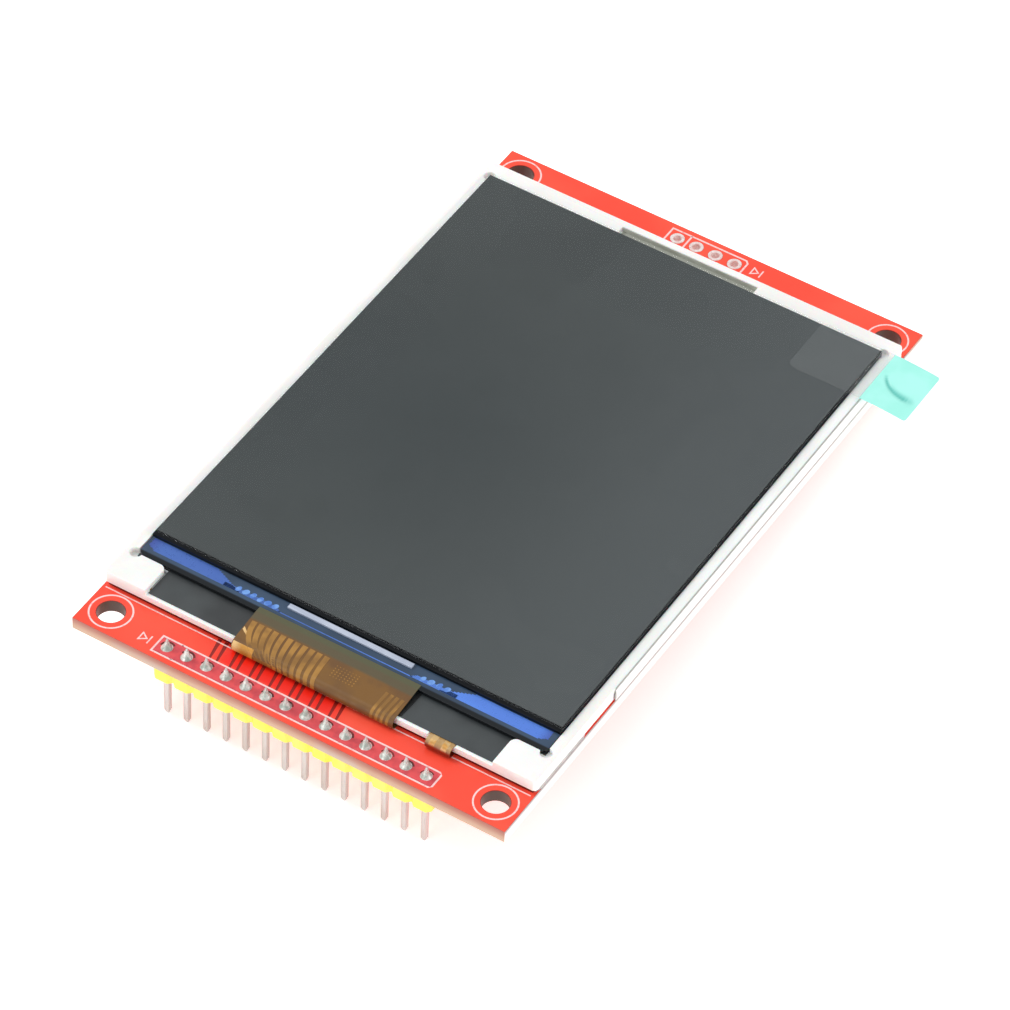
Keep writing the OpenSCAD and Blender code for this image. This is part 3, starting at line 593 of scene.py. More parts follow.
def mask_over_copper(look):
    """Epoxy solder mask, screen coated over copper: bright, even, with an orange-peel gloss."""
    s = Surface("epoxy_solder_mask_over_copper", look.mask, Roughness=0.34, IOR=1.5)
    s.drift(linear("#fc5840"), 9, share=0.7)
    # painted shade: a deeper red over the tracks that run in under the display's circuit, in the
    # shade of its film
    y, middle = s.axis(1), (TRACK_PINS[0] + TRACK_PINS[-1]) / 2
    off = add(s.tree, "Math", {0: s.axis(0), 1: middle}, operation="SUBTRACT").outputs[0]
    off = add(s.tree, "Math", {0: off}, operation="ABSOLUTE").outputs[0]
    across = s.within(off, 7.5 * MM, 1.5 * MM)
    past_pins = s.beyond(y, ROW_Y + 1.5 * MM, 0.3 * MM)
    along = s.both(past_pins, s.within(y, FRAME_LOW.y + 1 * MM, 0.3 * MM))
    on_top = s.beyond(s.axis(2), BOARD_TOP / 2)
    s.tint(s.both(across, s.both(along, on_top)), linear("#f5200f"))
    s.rough(0.28, 0.4, 4)
    return s.grain(0.5, 0.003).material


def legend_ink(look):
    """Epoxy legend ink, screen printed: matt, and a little thin where the squeegee left less."""
    s = Surface("epoxy_legend_ink_screen_printed", look.legend, Roughness=0.55, IOR=1.48)
    s.drift(linear("#f39f9c"), 0.35, share=0.8, low=0.5, high=0.75)
    return s.grain(0.15, 0.004).material


def header_notch(look):
    """Bare field round the pins; a slanting track leaves it with a tapering gap on each side."""
    x, y0, y1 = FIELD_X, ROW_Y - FIELD_Y, ROW_Y + FIELD_Y
    far = FRAME_LOW.y + 0.2 * MM
    lean, track = -0.18 * (far - y1), 0.45 * MM
    narrow, wide = look.gap * 0.3, look.gap * 0.6
    out = [(-x, y0), (x, y0), (x, y1)]
    for pin in reversed(TRACK_PINS):
        for side in (1, -1):
            mid = pin + side * track
            out += [(mid + narrow, y1), (mid + lean + wide, far),
                    (mid + lean - wide, far), (mid - narrow, y1)]
    return out + [(-x, y1)]


class MODULE_OT_board(bpy.types.Operator):
    """Finishes the board: laminate edge, copper under the mask, and the printed legend"""
    bl_idname = "module.board"
    bl_label = "Circuit board"

    def execute(self, context):
        look = context.scene.module_board
        dress("circuit_board", laminate_milled(look), "solder_mask")
        mask = mask_over_copper(look)
        ink = legend_ink(look)
        x, y = BOARD_HIGH.x - look.pour_margin, BOARD_HIGH.y - look.pour_margin
        rings = [circle_points(hole, HOLE_RADIUS + 0.06 * MM) for hole in HOLES]
        rings += [circle_points((px, SPARE_Y), 0.88 * MM, 32) for px in SPARE_X]
        # a moat without copper runs along the display's near edge, under the frame; its dark bare
        # mask is painted shade in the gap under the frame
        end, near = x - 0.4 * MM, FRAME_LOW.y
        moat = box_points(-end, near + 0.25 * MM, end, near + 3 * MM)
        top = [box_points(-x, -y, x, y), *rings, header_notch(look), moat]
        pour = plate_mesh("pour", top, BOARD_TOP, BOARD_TOP + look.pour_height)
        piece("copper_pour_top", pour, mask, "solder_mask")
        # epoxy solder mask between the pins, screen coated: darker and bluer, it narrows the pads
        s = Surface("epoxy_solder_mask_between_pads", look.field, Roughness=0.38, IOR=1.5)
        s.drift(linear("#c2404c"), 1.1, share=0.7)
        s.rough(0.32, 0.46, 2)
        s.grain(0.4, 0.004)
        x, y = FIELD_X - 0.02 * MM, FIELD_Y - 0.02 * MM
        field = [box_points(-x, ROW_Y - y, x, ROW_Y + y)]
        field += [circle_points((px, ROW_Y), PAD_RADIUS, 32) for px in PIN_X]
        between = plate_mesh("field", field, BOARD_TOP + 0.01 * MM, BOARD_TOP + 0.06 * MM)
        piece("header_field", between, s.material, "solder_mask")
        self.underside(look, mask)
        self.legend(look, ink)
        self.legend_bottom(look, ink)
        return {"FINISHED"}

    def legend(self, look, ink):
        """Rings round the holes, outlines of the two headers and of the display."""
        low = BOARD_TOP + look.pour_height - SUNK
        high = low + look.legend_height
        line = look.legend_line
        bm = bmesh.new()
        for hole in HOLES:
            ring_line(bm, hole, RING_RADIUS, RING_LINE, low, high)
        cut = 0.35 * MM
        for row, half in ((ROW_Y, HEADER_HALF), (SPARE_Y, 2 * PITCH)):
            y0, y1 = row - LEGEND_HALF, row + LEGEND_HALF
            outline = [
                (-half, y0), (half - cut, y0), (half, y0 + cut),
                (half, y1 - cut), (half - cut, y1), (-half, y1),
            ]
            raised_line(bm, outline, line, low, high, closed=True)
            divider = -half + PITCH
            raised_line(bm, [(divider, y0), (divider, y1)], line, low, high)
        # outline of the display, and a small generic mark beside the first pin of each header
        end, display = BOARD_HIGH.x - 0.4 * MM, FRAME_LOW.y - 0.27 * MM
        raised_line(bm, [(-end, display), (end, display)], 0.16 * MM, low, high)
        thin = 0.17 * MM
        for x, y in (
            (-HEADER_HALF - 2.1 * MM, ROW_Y - 0.1 * MM), (2 * PITCH + 1 * MM, SPARE_Y + 0.2 * MM),
        ):
            arrow = [(x, y - 0.55 * MM), (x, y + 0.55 * MM), (x + 0.8 * MM, y)]
            raised_line(bm, arrow, thin, low, high, closed=True)
            bar = [(x + 1.15 * MM, y - 0.6 * MM), (x + 1.15 * MM, y + 0.6 * MM)]
            raised_line(bm, bar, thin, low, high)
        piece("legend_top", bm, ink, "solder_mask")

    def underside(self, look, mask):
        """Copper, tracks and closed holes on the side that carries the socket and small parts."""
        low, high = -look.pour_height, 0.0
        x, y = BOARD_HIGH.x - look.pour_margin, BOARD_HIGH.y - look.pour_margin
        socket_y0, socket_y1 = BASE_LOW.y - 1.6 * MM, BASE_HIGH.y + 1.6 * MM
        socket_x, socket_mid = BASE_HIGH.x + 2.2 * MM, (BASE_LOW.y + BASE_HIGH.y) / 2
        # the row of resistors, and the lane of tracks from there to the socket
        row = ROW_Y + 7.5 * MM
        lane, reach = TRACK_PINS[0] - 1 * MM, row + 3.4 * MM
        lane_end = lane + 6.6 * MM
        # one bare field takes in the socket, the row and the lane between them
        x0, x1 = TRACK_PINS[0] - 1.8 * MM, TRACK_PINS[-1] + 1.2 * MM
        y0, y1 = row - 6.2 * MM, reach + 0.2 * MM
        outer = [
            (-x, -y), (x, -y), (x, y), (-x, y), (-x, socket_y1), (socket_x, socket_y1),
            (socket_x, socket_y0), (lane_end, socket_y0), (lane_end, y1 + x1 - lane_end),
            (x1, y1), (x1, y0), (x0, y0), (x0, socket_y0), (-x, socket_y0),
        ]
        holes = [circle_points(hole, 2.9 * MM) for hole in HOLES]
        pads = [(px, ROW_Y) for px in PIN_X] + [(px, SPARE_Y) for px in SPARE_X]
        holes += [circle_points(pad, 1.1 * MM) for pad in pads]
        # another one lies round the column of resistors beside the socket
        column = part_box("resistors")[1].x
        holes.append(box_points(column - 2.6 * MM, socket_mid - 5 * MM,
                                column + 1.7 * MM, socket_mid + 4.5 * MM))
        pour = plate_mesh("pour", [outer, *holes], low, high)
        piece("copper_pour_bottom", pour, mask, "solder_mask")
        bm = bmesh.new()
        track = 0.3 * MM
        for i, pin in enumerate(TRACK_PINS):
            feed = [(pin, ROW_Y + 0.8 * MM), (pin, row - 0.9 * MM)]
            raised_line(bm, feed, 0.35 * MM, low, high)
            target = lane + i * 1.0 * MM
            shift = pin - 1 * MM - target
            route = [
                (pin, row + 0.9 * MM), (pin, row + 2.2 * MM), (pin - 1 * MM, reach),
                (target, reach + shift + 0.01 * MM), (target, socket_y0 + 1 * MM),
            ]
            raised_line(bm, route, track, low, high)
        for i in range(4):
            level = socket_mid + (-4 + 2.5 * i) * MM
            for start, end in (
                (socket_x - 2 * MM, column - 1.7 * MM), (column, column + 1.5 * MM),
            ):
                raised_line(bm, [(start, level), (end, level)], track, low, high)
        piece("tracks_bottom", bm, mask, "solder_mask")
        # plated through holes closed over with mask: low rings, scattered over the copper
        bm = bmesh.new()
        rng = random.Random(21)
        for i in range(8):
            for j in range(5):
                x = (-22 + 6.1 * i + rng.uniform(-1.2, 1.2)) * MM
                y = (-24 + 6.2 * j + rng.uniform(-1.4, 1.4)) * MM
                beside = x < x0 - 1.5 * MM or x > x1 + 1.5 * MM
                clear_of_lane = x > lane_end + 3 * MM and y > -18 * MM
                if beside or clear_of_lane:
                    ring_line(bm, (x, y), 0.28 * MM, 0.2 * MM,
                              low - 0.02 * MM, low + 0.01 * MM, 20)
        # epoxy solder mask, thin over the ring of a plated hole: a darker red with a small shine
        s = Surface("epoxy_solder_mask_over_vias", linear("#c23628"), Roughness=0.3, IOR=1.5)
        s.drift(linear("#9c241b"), 0.5)
        piece("vias_bottom", bm, s.grain(0.2, 0.004).material, "solder_mask")

    def legend_bottom(self, look, ink):
        """Outlines round the socket and the small parts, and rings round the holes."""
        line = look.legend_line * 0.85
        thin = line * 0.8
        copper = -look.pour_height + SUNK
        on_copper = copper - look.legend_height, copper
        on_mask = -look.legend_height, SUNK
        bm = bmesh.new()
        for hole in HOLES:
            ring_line(bm, hole, RING_RADIUS, RING_LINE, *on_mask)
        # the outline of each header, with its first pin marked off
        for row, half, reach in (
            (ROW_Y, HEADER_HALF + 0.3 * MM, 1.55 * MM), (SPARE_Y, 2 * PITCH, LEGEND_HALF),
        ):
            outline = box_points(-half, row - reach, half, row + reach)
            raised_line(bm, outline, line, *on_copper, closed=True)
        first = [(-PITCH, SPARE_Y - LEGEND_HALF), (-PITCH, SPARE_Y + LEGEND_HALF)]
        raised_line(bm, first, line, *on_copper)
        # outlines round the two packages, beyond their leads, and round the capacitors
        packages = [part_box(node) for node in ("voltage_regulator", "backlight_transistor")]
        for boxes, dx, dy, width in (
            (packages, 0.45 * MM, 1.3 * MM, line),
            (solids_of("capacitors"), 0.75 * MM, 0.3 * MM, thin),
        ):
            for low, high in boxes:
                outline = box_points(low.x - dx, low.y - dy, high.x + dx, high.y + dy)
                raised_line(bm, outline, width, *on_copper, closed=True)
        # on bare mask, the ink lies lower: the socket's outline and the resistors'
        x0, x1 = -BOARD_HIGH.x + 0.3 * MM, BASE_HIGH.x + 1.7 * MM
        y0, y1 = SHELL_LOW.y - 0.55 * MM, SHELL_HIGH.y + 0.55 * MM
        raised_line(bm, [(x0, y0), (x1, y0), (x1, y1), (x0, y1)], line, *on_mask)
        for low, high in solids_of("resistors"):
            if high.x - low.x < high.y - low.y:
                y0, y1 = low.y - 0.6 * MM, high.y + 0.6 * MM
                sides = [[(x, y0), (x, y1)] for x in (low.x - 0.35 * MM, high.x + 0.35 * MM)]
            else:
                x0, x1 = low.x - 0.4 * MM, high.x + 0.4 * MM
                sides = [[(x0, y), (x1, y)] for y in (low.y - 0.3 * MM, high.y + 0.3 * MM)]
            for side in sides:
                raised_line(bm, side, thin, *on_mask)
        piece("legend_bottom", bm, ink, "solder_mask")


# ---- pin header ----

class MODULE_OT_header(bpy.types.Operator):
    """Makes the header: moulded body, plated pins, and a solder joint on each pin"""
    bl_idname = "module.header"
    bl_label = "Pin header"

    def execute(self, context):
        look = context.scene.module_header
        # glass-filled polyester, injection moulded: strong yellow, satin, with a mould texture
        s = Surface("polyester_injection_moulded_yellow", look.plastic, Roughness=0.42, IOR=1.57,
                    Subsurface_Weight=0.15, Subsurface_Scale=0.6 * MM)
        s.drift(linear("#fdee48"), 3, share=0.8)
        s.rough(0.36, 0.5, 1.2)
        s.grain(0.12, 0.004)
        eased("header_block", "header_body", look.edge, s.material, "yellow_plastic")

        # brass wire, drawn square and tin plated: pale warm metal with lines along the drawing
        s = Surface("brass_wire_drawn_and_tin_plated", look.pin, Metallic=0.55, Roughness=0.42)
        s.drift(linear("#c6bcb8"), 1.4, stretch=(1, 1, 0.25))
        s.rough(0.36, 0.5, 0.5, stretch=(4, 4, 0.4))
        s.grain(0.06, 0.002, stretch=(4, 4, 0.2))
        pins = eased("pins", "header_pins", 0.05 * MM, s.material, "tin_plate", angle=25)
        self.point(pins)
        self.joints(look)
        return {"FINISHED"}

    def point(self, pins):
        """Draws the pins' upper ends in, as solder climbs them to a point."""
        bm = bmesh.new()
        bm.from_mesh(pins.data)
        bmesh.ops.bisect_plane(
            bm, geom=[*bm.verts, *bm.edges, *bm.faces], plane_co=(0, 0, BOARD_TOP),
            plane_no=(0, 0, 1),
        )
        for vertex in bm.verts:
            above = (vertex.co.z - BOARD_TOP) / (PINS_HIGH.z - BOARD_TOP)
            if above > 0.01:
                pin = min(PIN_X, key=lambda x: abs(x - vertex.co.x))
                keep = 1 - 0.42 * min(1.0, 2 * above)
                vertex.co.x = pin + (vertex.co.x - pin) * keep
                vertex.co.y = ROW_Y + (vertex.co.y - ROW_Y) * keep
        bm.to_mesh(pins.data)
        bm.free()

    def joints(self, look):
        """Hand-soldered joints: a hollow cone round each pin, none quite like the next."""
        rng = random.Random(14)
        bm = bmesh.new()
        hole_r, top_r = 0.5 * MM, 0.22 * MM
        foot, base = -0.05 * MM, BOARD_TOP + 0.05 * MM
        steps = 12
        for x in PIN_X:
            rise = look.rise * rng.uniform(0.86, 1.0)
            lean = math.pi * 1.1 + rng.uniform(-0.5, 0.5)
            profile = [(0, foot), (hole_r, foot), (hole_r, base - 0.01 * MM), (PAD_RADIUS, base)]
            for u in (i / steps for i in range(1, steps + 1)):
                radius = top_r + (PAD_RADIUS - top_r) * (1 - u) ** 1.45
                profile.append((radius, base + 0.03 * MM + rise * u ** 1.05))
            profile += [(0.17 * MM, base + 0.07 * MM + rise), (0, base + 0.09 * MM + rise)]
            lathe(bm, (x, ROW_Y), profile, 28,
                  lambda a: 1 + 0.08 * math.cos(a - lean) + 0.03 * math.cos(3 * a))
        # lead-free solder, flowed by hand: frosted grey-white with brighter patches
        s = Surface("tin_solder_flowed", look.solder, Metallic=0.35, Roughness=0.36)
        s.drift(linear("#93a59b"), 0.6, share=0.8)
        s.rough(0.26, 0.46, 0.5)
        s.grain(0.5, 0.008)
        piece("solder_joints", bm, s.material, "solder", "header_solder", smooth=60)
        # painted shadow: a thin dark brown glaze on the far side of each joint, standing in for the
        # shade there
        bm = bmesh.new()
        for x in PIN_X:
            turn, reach = rng.uniform(-0.5, 0.2), rng.uniform(0.74, 0.86) * MM
            arc = circle_points((x, ROW_Y), reach, 14, math.pi * 0.2 + turn, math.pi * 0.75)
            raised_line(bm, arc, rng.uniform(0.14, 0.24) * MM, base, base + 0.025 * MM)
        s = Surface("painted_shadow_beside_joints", linear("#4a1a18"), Roughness=0.2, IOR=1.52)
        s.drift(linear("#7a2b26"), 0.4)
        piece("joint_shadow_marks", bm, s.grain(0.3, 0.004).material, "solder_mask")
        # tin-plated copper pad: flat bright ring with a soft reflowed skin
        s = Surface("copper_pad_tin_plated", linear("#f6f0ee"), Metallic=0.3, Roughness=0.4)
        s.drift(linear("#f0d3cf"), 0.6)
        s.rough(0.22, 0.42, 0.4)
        dress("plated_holes", s.grain(0.15, 0.004).material, "tin_plate")


# ---- backlight and frame ----

class MODULE_OT_backlight(bpy.types.Operator):
    """Finishes what lies between the board and the cell: tape, sheets, light guide and diodes"""
    bl_idname = "module.backlight"
    bl_label = "Backlight"

    def execute(self, context):
        look = context.scene.module_display
        # polyethylene foam tape, die cut: white, soft, with open cells at its edge
        s = Surface("polyethylene_foam_tape_die_cut", linear("#eeece6"), Roughness=0.85, IOR=1.4)
        s.drift(linear("#cfccc4"), 0.3)
        dress("mounting_tape", s.grain(0.2, 0.04).material, "white_foam")
        # polyester mirror film, coated: even bright white with a soft sheen
        s = Surface("polyester_reflector_film_coated", linear("#fafafa"), Roughness=0.3, IOR=1.6)
        s.drift(linear("#e9edf0"), 6)
        dress("reflector_sheet", s.grain(0.3, 0.002).material, "white_film")
        # acrylic, injection moulded: clear water-white plate with a fine dot pattern underneath
        s = Surface("acrylic_light_guide_moulded", linear("#e6f1f4"), Roughness=0.08, IOR=1.49,
                    Transmission_Weight=0.7)
        dots = add(s.tree, "TexVoronoi", {
            "Vector": s.place, "Scale": 1 / (0.5 * MM), "Randomness": 0.1,
        }).outputs[0]
        s.tint(add(s.tree, "MapRange", {
            "Value": dots, "From Min": 0.35, "From Max": 0.2,
        }).outputs[0], linear("#ffffff"))
        dress("light_guide", s.rough(0.04, 0.14, 2).material, "clear_acrylic")
        # phosphor resin in a white cup, cast: yellow face in a white moulded body
        s = Surface("phosphor_resin_cast_in_white_cup", linear("#fdfbf2"), Roughness=0.4, IOR=1.53)
        s.drift(linear("#f4dc6c"), 0.9)
        dress("led_packages", s.grain(0.1, 0.005).material, "led_resin")
        # polycarbonate diffuser, matt embossed: milky with a fine even frost
        s = Surface("polycarbonate_diffuser_embossed", linear("#f2f4f6"), Roughness=0.6, IOR=1.58)
        s.drift(linear("#e2e6ea"), 5)
        dress("diffuser_sheet", s.grain(0.08, 0.004).material, "clear_film")
        # polyester prism film, embossed: its ridges are drawn coarser than the real 0.05 mm
        ridge = 0.2 * MM
        for node, way in (("lower_prism_sheet", (1, 0, 0)), ("upper_prism_sheet", (0, 1, 0))):
            s = Surface(node + "_polyester_embossed", linear("#e6ecf1"), Roughness=0.22, IOR=1.6)
            s.drift(linear("#cfd8e2"), 8)
            across = add(s.tree, "VectorMath", {
                0: s.place, 1: way,
            }, operation="DOT_PRODUCT").outputs["Value"]
            wave = add(s.tree, "Math", {0: across, 1: ridge}, operation="PINGPONG").outputs[0]
            height = add(s.tree, "Math", {0: wave, 1: 1 / ridge}, operation="MULTIPLY").outputs[0]
            dress(node, s.relief(height, 0.05).material, "clear_film")
        # black polyester tape, slit: smooth, dark, with a soft grey sheen and a press texture
        s = Surface("polyester_tape_black_slit", look.rim, Roughness=0.42, IOR=1.62)
        s.drift(linear("#3a4042"), 7)
        s.rough(0.36, 0.5, 3)
        dress("rim_tape", s.grain(0.25, 0.003).material, "black_film")
        return {"FINISHED"}


class MODULE_OT_frame(bpy.types.Operator):
    """Makes the white moulded frame with its rounded edges"""
    bl_idname = "module.frame"
    bl_label = "Display frame"

    def execute(self, context):
        look = context.scene.module_display
        # white polycarbonate, injection moulded: milky white that light enters, satin skin
        s = Surface("polycarbonate_injection_moulded_white", look.plastic, Roughness=0.4, IOR=1.58,
                    Subsurface_Weight=0.3, Subsurface_Scale=0.8 * MM)
        s.drift(linear("#f1f1ee"), 12)
        s.rough(0.34, 0.48, 5)
        s.grain(0.18, 0.003)
        eased("moulded_frame", "backlight_frame", look.edge, s.material, "white_plastic",
              segments=3)
        self.recess_tape()
        self.foot_adhesive_and_shadow()
        return {"FINISHED"}

    def recess_tape(self):
        """Grey tape on the floor and the back wall of the recess in the far wall."""
        half, back, floor = 8.9 * MM, GLASS_HIGH.y + 1.42 * MM, RIM_LOW.z
        strip = Fold([
            (back, FRAME_HIGH.z - 0.12 * MM), (back, floor), (GLASS_HIGH.y + 0.12 * MM, floor),
        ])
        bm = bmesh.new()
        strip.sheet(bm, -half, half, 0.005 * MM, 0.05 * MM, columns=8)
        # polyester tape, slit: mid grey with a soft sheen
        s = Surface("polyester_tape_grey_slit", linear("#e6e8dd"), Roughness=0.5, IOR=1.6)
        s.drift(linear("#cccec0"), 2.5, share=0.8)
        # painted shade: it is darker on the floor of the recess
        s.tint(s.beyond(s.facing(2), 0.7, 0.1), linear("#a4a79d"))
        s.rough(0.42, 0.58, 2)
        piece("recess_tape", bm, s.grain(0.3, 0.006).material, "white_tape")

    def foot_adhesive_and_shadow(self):
        """A bead of adhesive between the frame's foot and the board, up to the side tape; its grey
        is a painted shadow along the gap.
        """
        low, high = BOARD_TOP, FRAME_LOW.z
        near, far = FRAME_LOW.y + 0.5 * MM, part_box("side_tape")[0].y - 5.2 * MM
        middle = (low + high) / 2
        rng = random.Random(5)
        bm = bmesh.new()
        steps = 40
        for side in (-1, 1):
            rings = []
            for i in range(steps + 1):
                y = near + (far - near) * i / steps
                # the bead draws in at its two ends
                end = min(1.0, 12 * min(i, steps - i) / steps + 0.2)
                inset = 0.012 * MM + rng.uniform(0, 0.005) * MM + (1 - end) * 0.3 * MM
                out = side * (BOARD_HIGH.x - inset)
                back = out - side * 0.7 * MM
                rings.append([bm.verts.new(c) for c in (
                    (back, y, low), (out, y, low), (out + side * 0.01 * MM, y, middle),
                    (out, y, high), (back, y, high),
                )])
            skin(bm, rings)
        # silicone adhesive, run in by hand: softly glossy; its grey is a painted shadow in the gap
        # under the frame
        s = Surface("silicone_adhesive_grey_painted_shadow", linear("#b9b5b3"), Roughness=0.35, IOR=1.41,
                    Subsurface_Weight=0.3, Subsurface_Scale=0.5 * MM)
        s.drift(linear("#a7a19f"), 1.5)
        piece("foot_adhesive_and_shadow", bm, s.grain(0.8, 0.02).material, "white_foam", smooth=60)


# ---- display cell ----

def glass_plate(name, colour, **shader):
    """Soda-lime glass, drawn flat and cut: hard gloss, dark because of what lies under it."""
    s = Surface(name, colour, Roughness=0.1, IOR=1.45, **shader)
    s.drift(linear("#10151c"), 7, share=0.35)
    return s.rough(0.07, 0.16, 5)


class MODULE_OT_cell(bpy.types.Operator):
    """Finishes the glass cell: ledge with metal lines, driver chip, polarizers and film"""
    bl_idname = "module.cell"
    bl_label = "Display cell"

    def execute(self, context):
        look = context.scene.module_display
        s = glass_plate("soda_lime_glass_with_array", look.ledge)
        # black along the rim, where the lines end; its cut edge is painted near black, as the shade
        # on it
        s.tint(s.within(s.axis(1), GLASS_LOW.y + 0.62 * MM, 0.12 * MM), linear("#10161b"))
        # painted shade: the glass's sides, below its top, are near black
        s.tint(s.within(s.axis(2), GLASS_HIGH.z - 0.03 * MM), linear("#0c1014"))
        eased("ledge_glass", "array_glass", 0.04 * MM, s.material, "cell_glass")
        s = glass_plate("soda_lime_glass_colour_filter", linear("#0b0e11"), Specular_IOR_Level=0.25)
        eased("filter_glass", "colour_filter_glass", 0.04 * MM, s.material, "cell_glass")
        # iodine polarizer, laminated and slit: near black, slightly matt, greenish in the light
        s = Surface("iodine_polarizer_laminated", look.screen, Roughness=0.3, IOR=1.5)
        s.drift(linear("#373d3e"), 24, share=0.6)
        # painted reflection: it pales a little towards one side and darkens in a patch left of the
        # middle, as the studio light reflects in it; its slit edge is black
        s.tint(s.beyond(s.axis(0), 8 * MM, 24 * MM), linear("#4c5254"))
        # painted reflection: a darker patch left of the middle
        left_part = s.within(s.axis(0), 4 * MM, 16 * MM)
        middle = s.within(s.size_of(1), 14 * MM, 14 * MM)
        s.tint(s.both(left_part, middle), linear("#363d3f"))
        s.tint(s.within(s.facing(2), 0.6, 0.2), linear("#06080a"))
        s.rough(0.34, 0.44, 9)
        s.grain(0.12, 0.0015)
        dress("upper_polarizer", s.material, "dark_film")
        s = Surface("iodine_polarizer_lower", linear("#24292b"), Roughness=0.35, IOR=1.5)
        s.drift(linear("#1a1e20"), 12)
        dress("lower_polarizer", s.grain(0.12, 0.0015).material, "dark_film")
        # polyethylene film, cast and rolled on: clear, faintly milky, with a trace of waviness
        s = Surface("polyethylene_film_cast_clear", linear("#e9efee"), Roughness=0.25, IOR=1.45,
                    Transmission_Weight=0.9)
        # its cut edge, thinner than a hair, does not show
        s.feed("Alpha", add(s.tree, "MapRange", {
            "Value": s.facing(2), "From Min": 0.4, "From Max": 0.8, "To Max": 0.05,
        }).outputs[0])
        s.rough(0.2, 0.32, 12)
        dress("protective_film", s.grain(0.4, 0.0015).material, "clear_film")
        # silicon die, back-ground and polished: cold bright mirror with a faint lavender cast
        s = Surface("silicon_back_ground_and_polished", look.chip, Metallic=0.4, Roughness=0.28)
        s.drift(linear("#bcc6da"), 2.5)
        s.rough(0.16, 0.3, 0.8, stretch=(0.3, 3, 1))
        s.grain(0.08, 0.001, stretch=(0.2, 3, 1))
        eased("chip_die", "driver_chip", 0.03 * MM, s.material, "chip_silicon")
        self.ledge_lines(look)
        return {"FINISHED"}

    def ledge_lines(self, look):
        """Metal on the ledge: a band of close lines from each end, and pads near the chip."""
        low = GLASS_HIGH.z - SUNK
        high = low + 0.008 * MM
        near, far = GLASS_LOW.y + 1.12 * MM, FILTER_LOW.y - 0.08 * MM
        pitch = (far - near) / look.fan_lines
        # one line on each side runs between the chip and the flexible circuit
        between = (CHIP_LOW.y + GLASS_LOW.y) / 2 + 0.13 * MM
        bands, pads = bmesh.new(), bmesh.new()
        rng = random.Random(8)
        # on each side, the ends of its band and of its row of pads in mm from the middle
        for side, inner, outer, first, last in (
            (-1, 15.2, 25.7, 8.7, 14.4), (1, 13.6, 25.4, 9.2, 13.2),
        ):
            for k in range(look.fan_lines):
                y = near + (k + 0.5) * pitch
                start = (inner - 1.6 + 0.36 * k) * MM
                end = (outer - rng.uniform(0, 0.12) - 0.3 * max(0, 3 - k)) * MM
                raised_line(bands, [(side * start, y), (side * end, y)], pitch, low, high)
            # lines that leave the chip's end and run close together to the band
            for k in range(5):
                y = near + (k + 0.5) * pitch * 0.7
                start, end = side * (8.3 + 0.15 * k) * MM, side * (inner + 0.5) * MM
                raised_line(bands, [(start, y), (end, y)], pitch * 0.55, low, high)
            raised_line(bands, [(0, between), (side * 8.6 * MM, between)], 0.13 * MM, low, high)
            count = round((last - first) / 1.02)
            for k in range(count):
                x = side * (first + (k + 0.5) * (last - first) / count) * MM
                wide, y = rng.uniform(0.55, 0.8) * MM, near + rng.uniform(0.42, 0.6) * MM
                slab(pads, [
                    (x + wide / 2 * across + 0.1 * MM * up, y + 0.4 * MM * up)
                    for across, up in circle_points((0, 0), 1, 20)
                ], low, high + 0.004 * MM)
        # aluminium, sputtered on glass and etched: lines so close that they look one cold blue
        s = Surface("aluminium_sputtered_and_etched", look.lines, Metallic=0.25, Roughness=0.32)
        s.tint(s.beyond(s.axis(0), 4 * MM, 12 * MM), linear("#5f93f4"))
        s.drift(linear("#4a63bd"), 3.5, share=0.35, stretch=(0.3, 1, 1))
        s.tint(s.beyond(s.size_of(0), 25 * MM, 1.2 * MM), linear("#4352a0"))
        s.rough(0.26, 0.42, 0.6)
        piece("ledge_lines", bands, s.grain(0.1, 0.001).material, "cell_glass")
        # aluminium pads, etched: a brighter blue, mottled
        s = Surface("aluminium_test_pads_etched", linear("#5583d6"), Metallic=0.25, Roughness=0.36)
        s.drift(linear("#79a9ee"), 0.7)
        piece("ledge_pads", pads, s.grain(0.1, 0.001).material, "cell_glass")


# ---- flexible circuits ----

TAIL_X = 15.75 * MM
TAIL_WIDTH = 3.1 * MM
TAIL_THICKNESS = 0.12 * MM


def flex_fold(look):
    """Centre line of the display's flexible circuit, from the ledge round the rail to the board."""
    t = look.thickness
    top = GLASS_HIGH.z + t / 2
    low = BOARD_TOP + t / 2
    over = RIM_HIGH.z + 0.16 * MM
    radius = (over - low) / 2
    bend_y = FLEX_LOW.y + radius + t / 2
    return Fold([
        (GLASS_LOW.y + 0.6 * MM, top), (GLASS_LOW.y - t, top),
        *circle_points((bend_y, (over + low) / 2), radius, 24, math.pi / 2, math.pi),
        (FRAME_LOW.y + 7 * MM, low),
    ])


def led_fold():
    """Centre line of the diodes' tail, from over the light guide round the rail to the board."""
    half = TAIL_THICKNESS / 2
    top, low = LED_HIGH.z - half, LED_LOW.z + half
    radius = (top - low) / 2
    return Fold([
        (FRAME_LOW.y + 1.85 * MM, top),
        *circle_points((LED_LOW.y + radius + half, (top + low) / 2), radius, 24,
                       math.pi / 2, math.pi),
        (FRAME_LOW.y + 3 * MM, low),
    ])


